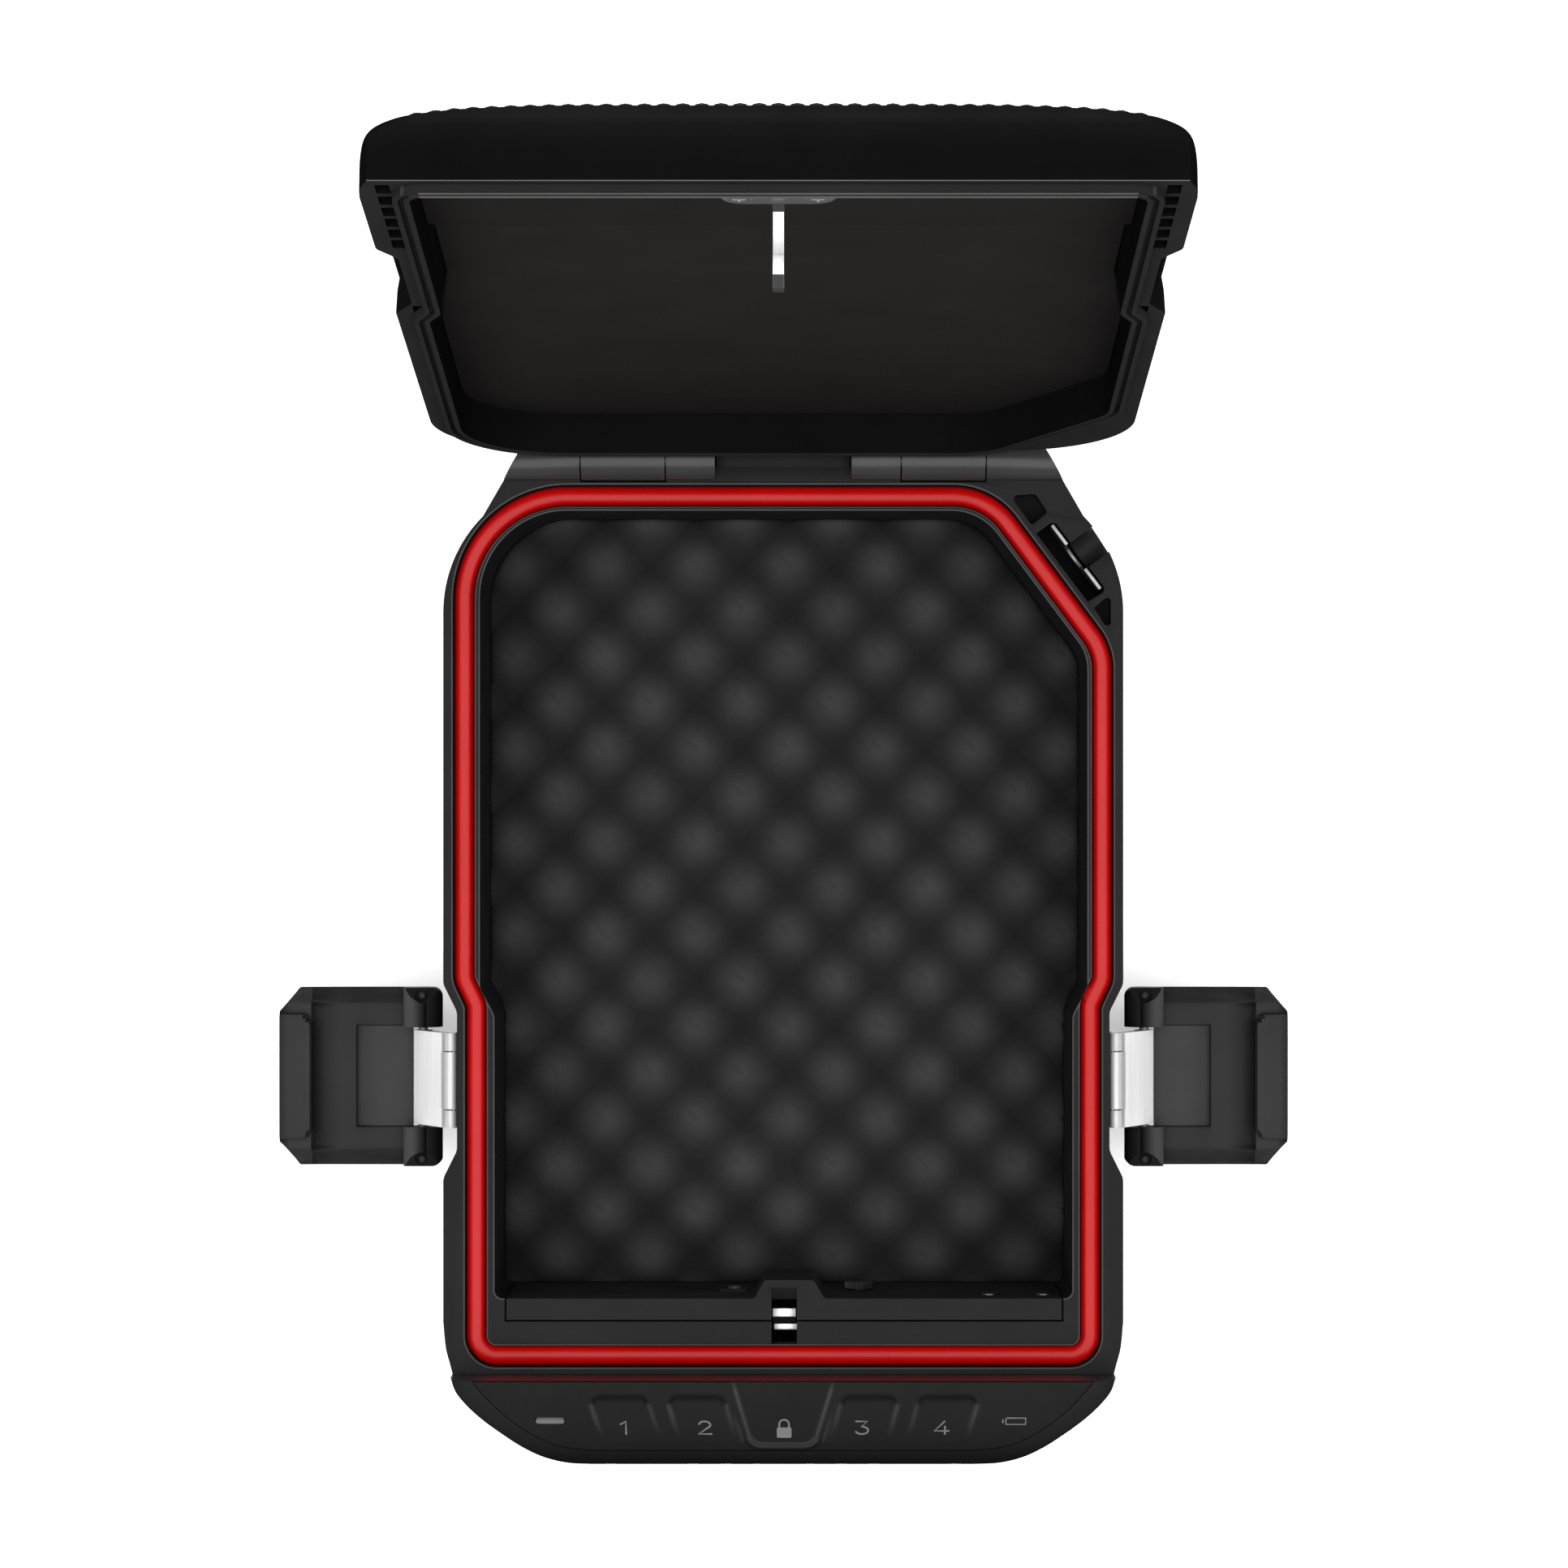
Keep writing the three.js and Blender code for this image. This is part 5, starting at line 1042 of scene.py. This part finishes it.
# ---------------------------------------------------------------- latch levers
def lever(side):
    """Moulded lever: pull block, hollowed face, recess over the link, two bosses."""
    bu, bz = 88.0, 26.8
    out = rounded([(2.7, 21.75, 0), (2.7, -21.75, 0), (30.3, -21.75, 0.8), (35.1, -15.95, 0.8), (35.1, 15.95, 0.8), (30.3, 21.75, 0.8)], 15)
    us = sorted(set([round(v, 2) for v in list(np.arange(3.2, 35.0, 0.75)) + [16.2, 16.3, 16.42, 16.55, 16.7, 27.2, 27.35, 27.5, 27.62, 27.8, 33.3, 33.5, 34.3]]))
    vs = sorted(set([round(v, 2) for v in list(np.arange(-21, 21.1, 0.9)) + [k * w for k in (-1, 1) for w in (12.1, 12.25, 12.38, 12.5, 12.65, 15.0, 15.12, 15.25, 15.4, 17.6, 17.8, 18.0)]]))
    v, f = fill(out, (), [(a, b) for a in us for b in vs], 0.8)
    u, w = v[:, 0], np.abs(v[:, 1])
    low = np.interp(u, [0, 22, 28, 32, 34.3, 35.1], [-4.8, -4.9, -4.6, -3.8, -2.4, -1.0])
    low = low + 0.7 * np.clip((w - 19.5) / 2.25, 0, 1) ** 2
    z = np.full(len(u), -2.0)
    band = np.clip((w - 17.8) / 3.95, 0, 1)
    z -= 1.75 * band
    c = np.clip((u - 17.0) / 10.4, 0, 1)
    z -= 1.7 * c ** 1.8 * (1 - smoothstep(16.6, 18.6, w)) * (u < 27.55)
    rec = (1 - smoothstep(16.25, 16.6, u)) * (1 - smoothstep(12.2, 12.55, w))
    z -= rec * (0.95 + 0.75 * np.clip((u - 10.5) / 5.8, 0, 1) ** 1.8)
    block = [(27.42, -12.9), (28.9, -15.2), (36, -15.2), (36, 15.2), (28.9, 15.2), (27.42, 12.9)]
    b = smoothstep(-0.12, 0.12, signed(block, v[:, 0], v[:, 1]))
    z = z * (1 - b) + b * (1.35 - 0.85 * np.clip((u - 33.3) / 1.8, 0, 1) ** 1.3 - 0.35 * np.clip((w - 14.2), 0, 1))
    corner = (1 - b) * np.clip((u - 27.6) / 6, 0, 1)
    z -= corner * 0.6
    z = np.maximum(z, low + 0.7)
    plan = [(x + bu, y + LATCH_Y) for x, y in v]
    o = raw(*plate(np.array(plan), f, np.column_stack([plan, z + bz]), np.column_stack([plan, low + bz])))
    for q in (-1, 1):
        a, e = (LATCH_Y - 21.75, LATCH_Y - 12.2) if q < 0 else (LATCH_Y + 12.2, LATCH_Y + 21.75)
        r = rod("y", 4.8, bu, bz, a, e, 72)
        ye = LATCH_Y + q * 21.75
        facet = [(LATCH_Y + q * 8, bz - 8), (ye, bz - 8), (ye, bz + 2.3), (LATCH_Y + q * 18.2, bz + 4.9), (LATCH_Y + q * 8, bz + 4.9)]
        if q < 0:
            facet = facet[::-1]
        common(r, along_x(facet, bu - 8, bu + 8))
        rnd = rounded([(bu - 4.9, LATCH_Y + 21.75, 2.7), (bu - 4.9, LATCH_Y - 21.75, 2.7), (bu + 6, LATCH_Y - 21.75, 0), (bu + 6, LATCH_Y + 21.75, 0)], 10)
        common(r, prism(rnd, 10, 50))
        add(o, r)
        cut(o, rod("y", 1.55, bu, bz, LATCH_Y - 19.9, LATCH_Y + 19.9, 24), rod("z", 1.6, bu + 0.1, LATCH_Y + q * 19.75, bz + 2.0, 40, 24))
    cut(o, box(bu - 8, bu + 2.6, LATCH_Y - 12.2, LATCH_Y + 12.2, 10, 40))
    soften(o, 0.3, 2, 34, 0.4)
    c, n, k = faces_of(o)
    # up-facing rounded edges keep the lighter edge copy (painted highlight); screw holes and faces turned to the body
    # take the darker copy (painted shade); the recess floor and the bosses take copies with painted light and shade
    # ramps
    k[(k == 1) & (n[:, 2] < 0.15)] = 0
    k[(c[:, 2] < bz + 4.0) & (np.hypot(c[:, 0] - bu - 0.1, np.abs(c[:, 1] - LATCH_Y) - 19.75) < 1.8) & (c[:, 2] > bz + 1.5)] = 2
    k[(c[:, 0] < bu - 1.2) & (n[:, 0] < -0.2) & (k == 0)] = 2
    k[(k == 0) & (c[:, 0] < bu + 16.45) & (np.abs(c[:, 1] - LATCH_Y) < 12.4) & (n[:, 2] > 0.6)] = 4
    k[(c[:, 0] < bu + 4.85) & (np.abs(c[:, 1] - LATCH_Y) > 12.3) & ((k == 0) | (k == 1)) & (c[:, 2] > bz - 1)] = 3
    o.data.polygons.foreach_set("material_index", k)
    if side < 0:
        o.data.transform(Matrix.Scale(-1, 4, (1, 0, 0)))
        o.data.flip_normals()
    t = "left" if side < 0 else "right"
    return finish_mesh(o, "latch_lever_body_" + t, [MAT[m] for m in ("lever", "lever_edge_highlight", "hollow", "boss", "pan")], "lever_" + t, ("latch_lever_" + t,), sharp=32)


def link(side):
    """Steel link: knuckle between the bracket's knuckles, plate, barrel in the lever."""
    au, az, ar, bu, bz, br = 80.2, 42.0, 1.5, 88.0, 26.8, 2.3
    d = math.hypot(bu - au, bz - az)
    t, n = ((bu - au) / d, (bz - az) / d), ((az - bz) / d, (bu - au) / d)

    def at(s, h):
        return (au + t[0] * s + n[0] * h, az + t[1] * s + n[1] * h)
    y0 = LATCH_Y
    plate_ = [at(1.95, -0.5), at(d - 0.5, -0.5), at(d, 2.3), at(2.1, 1.42)]
    o = along_y(plate_, y0 - 11.4, y0 + 11.4)
    add(o, rod("y", br, bu, bz, y0 - 11.4, y0 + 11.4, 40), rod("y", ar, au, az, y0 - 6.85, y0 + 6.85, 32),
        along_y([at(-0.2, -0.5), at(2.4, -0.5), at(2.4, 1.43), at(0, 1.5)], y0 - 6.85, y0 + 6.85))
    for q in (-1, 1):
        a, b = (y0 - 12, y0 - 6.85) if q < 0 else (y0 + 6.85, y0 + 12)
        cut(o, rod("y", ar + 0.4, au, az, a, b, 32))
    cut(o, rod("y", 0.95, au, az, y0 - 20, y0 + 20, 16), rod("y", 1.55, bu, bz, y0 - 20, y0 + 20, 16))
    soften(o, 0.12, 2)
    c, nn, k = faces_of(o)
    s_ = (c[:, 0] - au) * t[0] + (c[:, 2] - az) * t[1]
    # outward faces of the plate take the paler copy: painted light
    o.data.polygons.foreach_set("material_index", ((s_ > 1.6) & (nn[:, 0] > 0.3)).astype(int))
    if side < 0:
        o.data.transform(Matrix.Scale(-1, 4, (1, 0, 0)))
        o.data.flip_normals()
    tag = "left" if side < 0 else "right"
    return finish_mesh(o, "latch_link_body_" + tag, [MAT["link"], MAT["plate"]], "link_" + tag, ("latch_link_" + tag,), sharp=30)


def screw_head(side, end):
    """Domed screw head down in the boss."""
    x, y, z = side * 88.0, LATCH_Y + end * 19.9, 26.8 + 2.2
    verts, faces, n = [], [], 24
    prof = [(0.8, 0.0), (0.95, 0.25), (0.95, 0.7), (0.8, 1.0), (0.5, 1.18)]
    for r, h in prof:
        verts += [(x + r * math.cos(2 * math.pi * i / n), y + r * math.sin(2 * math.pi * i / n), z + h) for i in range(n)]
    for k in range(len(prof) - 1):
        faces += [(k * n + i, k * n + (i + 1) % n, (k + 1) * n + (i + 1) % n, (k + 1) * n + i) for i in range(n)]
    faces += [tuple(range(n))[::-1], tuple((len(prof) - 1) * n + i for i in range(n))]
    t, e = ("left" if side < 0 else "right"), ("front" if end < 0 else "rear")
    node = "lever_screw_%s_%s" % (t, e)
    # the head takes the near-black steel copy: painted shade in its pocket
    return finish_mesh(raw(verts, faces), node + "_head", MAT["dim"], "lever_" + t, (node,), sharp=30)


# ---------------------------------------------------------------- lock bolt, anchor plate
def bolt():
    """Flat bolt with a window; only the two bars show in the slot."""
    o = box(-6.5, 9.5, -104, -94.9, 35.6, 37.6)
    add(o, box(-6.5, -3.3, -95.2, -90.0, 35.6, 37.5), box(3.4, 9.5, -95.2, -90.0, 35.6, 37.5),
        box(-2.2, 3.6, -92.1, -90.75, 35.6, 37.6), box(-2.55, 2.98, -89.0, -87.05, 35.6, 37.6),
        box(-2.55, 2.98, -92.0, -87.2, 35.6, 35.9), box(-3.4, -2.1, -92.0, -90.9, 35.6, 35.9))
    soften(o, 0.13, 2)
    c, n, k = faces_of(o)
    # faces low down, on the sides and outside the slot take the darker copy: painted shade
    k = np.where((c[:, 2] < 36.6) | (n[:, 2] < 0.3) | ((c[:, 1] > -95.3) & (np.abs(c[:, 0] - 0.6) > 3.4)), 1, 0)
    o.data.polygons.foreach_set("material_index", k)
    return finish_mesh(o, "lock_bolt_body", [MAT["steel"], MAT["hollow"]], "bolt", ("lock_bolt",), sharp=30)


def anchor():
    """Thin plate standing on edge in the cable slot, with a round-bottomed notch for the cable."""
    def across(s0, s1, n0, n1):
        q = [an(s0, n0), an(s1, n0), an(s1, n1), an(s0, n1)]
        return q if sum(a[0] * b[1] - b[0] * a[1] for a, b in zip(q, q[1:] + q[:1])) > 0 else q[::-1]
    o = prism(across(0.7, 19.9, 3.95, 4.75), 27, 44.4)
    levels = [(3.6 * math.sin(a * RAD) + 0.02, 39.6 - 3.6 * math.cos(a * RAD)) for a in range(0, 91, 9)] + [(3.62, 50)]
    cut(o, loft([[(x, y, z) for x, y in across(10.2 - h, 10.2 + h, 3.0, 6.0)] for h, z in levels]))
    soften(o, 0.12, 2)
    c, n, k = faces_of(o)
    # faces not turned up take the darker steel: painted shade
    o.data.polygons.foreach_set("material_index", np.where(n[:, 2] > 0.7, 0, 1))
    return finish_mesh(o, "anchor_plate_body", [MAT["steel2"], MAT["screw"]], "base", ("anchor_plate",), sharp=30)


def deck():
    """Cover of the electronics: deck strip, rear wall and the bump behind the hook slot."""
    w = WALL_Y
    plan = [(-66.5, -88.95, 0), (66.9, -88.95, 0), (66.9, -83.85, 0), (11.0, -83.85, 1.5), (9.9, -83.85, 1.2), (7.3, -79.4, 1.3), (-4.5, -79.4, 1.3),
            (-6.9, -83.85, 1.2), (-8.0, -83.85, 0), (-66.5, -83.85, 0)]
    o = prism(rounded(plan, 12), 42.5, RIM_Z)
    add(o, box(-66.5, 66.9, -86.1, -83.85, FLOOR_Z + 0.3, 43),
        prism(rounded([(-9.9, -86.1, 0), (12.9, -86.1, 0), (12.9, -83.85, 0), (9.9, -83.85, 1.2), (7.3, -79.4, 1.3), (-4.5, -79.4, 1.3), (-6.9, -83.85, 1.2), (-9.9, -83.85, 0)], 12), 19, 43))
    cut(o, box(-2.85, 3.28, -94.75, -81.2, 26, 60), rod("y", 2.15, -11.8, 27, -90, -80, 24), rod("y", 1.85, 18.35, 24.6, -90, -80, 24),
        rod("y", 2.75, 49.8, 34.4, -90, -80, 28), rod("y", 2.75, 63.0, 34.4, -90, -80, 28))
    # shallow raised frame round the programming button
    add(o, box(-15.4, -9.0, -84.2, -83.2, 24.1, 29.9))
    cut(o, rod("y", 2.15, -11.8, 27, -90, -80, 24))
    soften(o, 0.2, 2)
    c, n, k = faces_of(o)
    slot = (c[:, 0] > -2.95) & (c[:, 0] < 3.38) & (c[:, 1] > -94.8) & (c[:, 1] < -81.1) & (c[:, 2] < 44.9)
    # low rounded edges go back to the shell so only the top edges keep the painted highlight; rear-facing walls and the
    # hook slot take lighter copies, painted light
    k[(k == 1) & (c[:, 2] < 44)] = 0
    k[(k == 0) & (n[:, 1] > 0.3) & (c[:, 2] < 44.6)] = 2
    k[slot] = 3
    o.data.polygons.foreach_set("material_index", k)
    return finish_mesh(o, "deck_cover_body", [MAT[m] for m in ("shell", "edge", "wall", "slot")], "base", ("deck_cover",), sharp=30)


def knurled_screw():
    """Hand screw: ribbed wheel on a plain shank."""
    x, z, n = 18.35, 24.6, 152
    rings = []
    for y, r in ((-83.5, 3.0), (-83.35, 3.3), (-82.05, 3.3), (-81.9, 3.0)):
        ring = []
        for i in range(n):
            a = 2 * math.pi * i / n
            rr = r + (0.16 if r > 3.1 else 0.0) * (1 if (i // 2) % 2 else -1)
            ring.append((x + rr * math.cos(a), y, z - rr * math.sin(a)))
        rings.append(ring)
    o = loft(rings)
    add(o, rod("y", 1.5, x, z, -91.6, -83.4, 24))
    c, _, k = faces_of(o)
    turn = np.arctan2(z - c[:, 2], c[:, 0] - x) / (2 * math.pi) * n
    # groove faces of the knurl take the darker copy: painted shade
    o.data.polygons.foreach_set("material_index", ((np.floor(turn / 2) % 2 < 1) & (c[:, 1] > -83.3) & (c[:, 1] < -82.0)).astype(int))
    return finish_mesh(o, "thumb_screw_wheel", [MAT["wheel"], MAT["hollow"]], "thumb", ("thumb_screw",), sharp=25)


# ---------------------------------------------------------------- kept parts
def rounder(node, width=0.25, seg=2, angle=30, dissolve=1.0):
    """Edge rounding and smooth shading on a kept part, as modifiers (metres)."""
    o = NODES[node]
    w = o.modifiers.new("weld", "WELD")
    w.merge_threshold = 2e-6
    d = o.modifiers.new("flat", "DECIMATE")
    d.decimate_type, d.angle_limit = "DISSOLVE", dissolve * RAD
    b = o.modifiers.new("edge", "BEVEL")
    b.width, b.segments, b.limit_method, b.angle_limit, b.miter_outer = width * MM, seg, "ANGLE", angle * RAD, "MITER_ARC"
    s = o.modifiers.new("smooth", "NODES")
    s.node_group = SMOOTH


def smooth_group():
    g = bpy.data.node_groups.new("smooth_by_angle", "GeometryNodeTree")
    g.interface.new_socket("Geometry", in_out="INPUT", socket_type="NodeSocketGeometry")
    g.interface.new_socket("Geometry", in_out="OUTPUT", socket_type="NodeSocketGeometry")
    gi, go = g.nodes.new("NodeGroupInput"), g.nodes.new("NodeGroupOutput")
    rm = g.nodes.new("GeometryNodeRemoveAttribute")
    rm.inputs["Name"].default_value = "custom_normal"
    sf = g.nodes.new("GeometryNodeSetShadeSmooth")
    sf.domain = "FACE"
    sf.inputs["Shade Smooth"].default_value = True
    se = g.nodes.new("GeometryNodeSetShadeSmooth")
    se.domain = "EDGE"
    ea = g.nodes.new("GeometryNodeInputMeshEdgeAngle")
    cmp_ = g.nodes.new("FunctionNodeCompare")
    cmp_.data_type, cmp_.operation = "FLOAT", "LESS_EQUAL"
    cmp_.inputs[1].default_value = 35 * RAD
    g.links.new(ea.outputs["Unsigned Angle"], cmp_.inputs[0])
    g.links.new(gi.outputs[0], rm.inputs["Geometry"])
    g.links.new(rm.outputs["Geometry"], sf.inputs["Geometry"])
    g.links.new(sf.outputs["Geometry"], se.inputs["Geometry"])
    g.links.new(cmp_.outputs["Result"], se.inputs["Shade Smooth"])
    g.links.new(se.outputs["Geometry"], go.inputs[0])
    return g


SMOOTH = smooth_group()


def shade(name, parts):
    """Paints light and shade into the colour of a moulded part by position: `parts` lists
    (axis, centre in metres, [(distance in metres, factor)...])."""
    nt = MAT[name].node_tree
    bs = next(n for n in nt.nodes if n.type == "BSDF_PRINCIPLED")
    tc = next(n for n in nt.nodes if n.type == "TEX_COORD")
    for axis, centre, stops in parts:
        old = bs.inputs["Base Color"].links[0].from_socket
        sp, sub_, ab = nt.nodes.new("ShaderNodeSeparateXYZ"), nt.nodes.new("ShaderNodeMath"), nt.nodes.new("ShaderNodeMath")
        sub_.operation, ab.operation = "SUBTRACT", "ABSOLUTE"
        sub_.inputs[1].default_value = centre
        mr, cr, mx = nt.nodes.new("ShaderNodeMapRange"), nt.nodes.new("ShaderNodeValToRGB"), nt.nodes.new("ShaderNodeMix")
        lo, hi = stops[0][0], stops[-1][0]
        mr.inputs["From Min"].default_value, mr.inputs["From Max"].default_value = lo, hi
        els = cr.color_ramp.elements
        els[0].position, els[1].position = 0.0, 1.0
        els[0].color, els[1].color = (stops[0][1],) * 3 + (1,), (stops[-1][1],) * 3 + (1,)
        for d, f in stops[1:-1]:
            e = els.new((d - lo) / (hi - lo))
            e.color = (f, f, f, 1)
        mx.data_type, mx.blend_type, mx.clamp_result = "RGBA", "MULTIPLY", False
        mx.inputs[0].default_value = 1.0
        nt.links.new(tc.outputs["Object"], sp.inputs[0])
        nt.links.new(sp.outputs[axis], sub_.inputs[0])
        nt.links.new(sub_.outputs[0], ab.inputs[0])
        nt.links.new(ab.outputs[0], mr.inputs["Value"])
        nt.links.new(mr.outputs["Result"], cr.inputs["Fac"])
        nt.links.new(old, mx.inputs[6])
        nt.links.new(cr.outputs["Color"], mx.inputs[7])
        nt.links.new(mx.outputs[2], bs.inputs["Base Color"])


# painted light and shade across the lever by distance from the middle and from the latch line; painted light on the
# recess; painted highlight on the bosses' outer flanks, painted shade on their inner sides
shade("lever", [("X", 0.0, [(0.0840, 0.8), (0.0905, 1.1), (0.0946, 1.08), (0.1026, 0.92), (0.1085, 1.06), (0.1106, 0.9), (0.1126, 0.68),
                            (0.1150, 0.44), (0.1154, 0.35), (0.11545, 1.35), (0.1215, 1.30), (0.1231, 1.05)]),
                ("Y", -0.0316, [(0.0, 1.0), (0.0172, 1.0), (0.0182, 0.82), (0.0218, 0.6)])])
shade("pan", [("X", 0.0, [(0.0840, 1.9), (0.0930, 1.88), (0.0985, 1.75), (0.1044, 1.35)])])
shade("boss", [("X", 0.0, [(0.0825, 0.08), (0.0845, 0.1), (0.0872, 0.2), (0.0885, 1.0), (0.0903, 2.7), (0.0915, 3.2), (0.0926, 3.45), (0.0945, 1.9)])])
# painted shading on the lid's front roll: darker near the rim, lighter towards the crown
shade("lid_front_shading", [("Y", (LID_TURN @ Vector((0, -101.6, LID_Z))).y * MM,
                     [(0.0, 0.84), (0.0030, 0.81), (0.0046, 0.87), (0.0062, 0.87), (0.0078, 0.97), (0.0094, 1.14), (0.0110, 1.25), (0.0118, 1.5),
                      (0.0126, 1.8), (0.0142, 2.2), (0.0160, 2.3)])])
base_shell()
lid_shell()
grip_panel()
rim_seal()
foam()
keypad()
prints()
for s in (-1, 1):
    lever(s)
    for e in (-1, 1):
        screw_head(s, e)
    hook_screw(s)
    link(s)
bolt()
anchor()
deck()
knurled_screw()
liner()
hook()

KEPT = {
    "base_pad": ("pad", 0.4), "program_button": ("wheel", 0.25),
    "cavity_light_lens": ("lens", 0.3), "lid_sensor_lens": ("lens", 0.3), "status_light": ("light", 0.1), "circuit_board": ("board", 0.1),
    "lock_frame": ("steel2", 0.15), "lock_motor": ("steel2", 0.3), "drive_pinion": ("steel2", 0.1),
    "hinge_pin_left": ("steel2", 0.2), "hinge_pin_right": ("steel2", 0.2),
}
for i in range(1, 5):
    KEPT["battery_cell_%d" % i] = ("cell", 0.5)
for t in ("left", "right"):
    KEPT["latch_bracket_" + t] = ("link", 0.12)
    KEPT["latch_pin_" + t] = ("steel2", 0.08)
    KEPT["lever_pin_" + t] = ("steel2", 0.12)
for node, (mt, width) in KEPT.items():
    rounder(node, width)
    ob = NODES[node]
    for i in range(max(1, len(ob.material_slots))):
        if ob.material_slots:
            ob.material_slots[i].material = MAT[mt]
        else:
            ob.data.materials.append(MAT[mt])


# ---------------------------------------------------------------- stage
def stage():
    o = raw([(-9000, -9000, 0), (9000, -9000, 0), (9000, 9000, 0), (-9000, 9000, 0)], [(0, 1, 2, 3)], "floor")
    o.data.transform(Matrix.Scale(MM, 4))
    fm = material("floor_pale", grey(0.93), grey(0.95), 0.8, 0.05, spec=0.1, patch=2, grain=40, bump=0.02)
    fb = next(n for n in fm.node_tree.nodes if n.type == "BSDF_PRINCIPLED")
    fb.inputs["Emission Color"].default_value = (1, 1, 1, 1)
    fb.inputs["Emission Strength"].default_value = 0.35
    o.data.materials.append(fm)
    o.name = "floor"
    w = bpy.data.worlds.new("world")
    scene.world = w
    w.use_nodes = True
    bg = next(n for n in w.node_tree.nodes if n.type == "BACKGROUND")
    bg.inputs["Color"].default_value = (1, 1, 1, 1)
    bg.inputs["Strength"].default_value = 0.36

    def area(name, loc, rot, sx, sy, power):
        ld = bpy.data.lights.new(name, "AREA")
        ld.shape, ld.size, ld.size_y, ld.energy = "RECTANGLE", sx, sy, power
        lo = bpy.data.objects.new(name, ld)
        lo.location = loc
        lo.rotation_euler = [a * RAD for a in rot]
        scene.collection.objects.link(lo)

    area("soft_top", (0, -0.35, 2.4), (-3, 0, 0), 4.2, 2.8, 150)

    cam = bpy.data.cameras.new("camera")
    cam.sensor_width, cam.lens, cam.shift_x = 36.0, 106.07, -0.01278
    cam.clip_start, cam.clip_end = 0.05, 20
    co = bpy.data.objects.new("camera", cam)
    co.location = (0.005, 0.0398, 1.155)
    scene.collection.objects.link(co)
    scene.camera = co
    scene.view_settings.view_transform = "Standard"


stage()
bpy.context.view_layer.update()
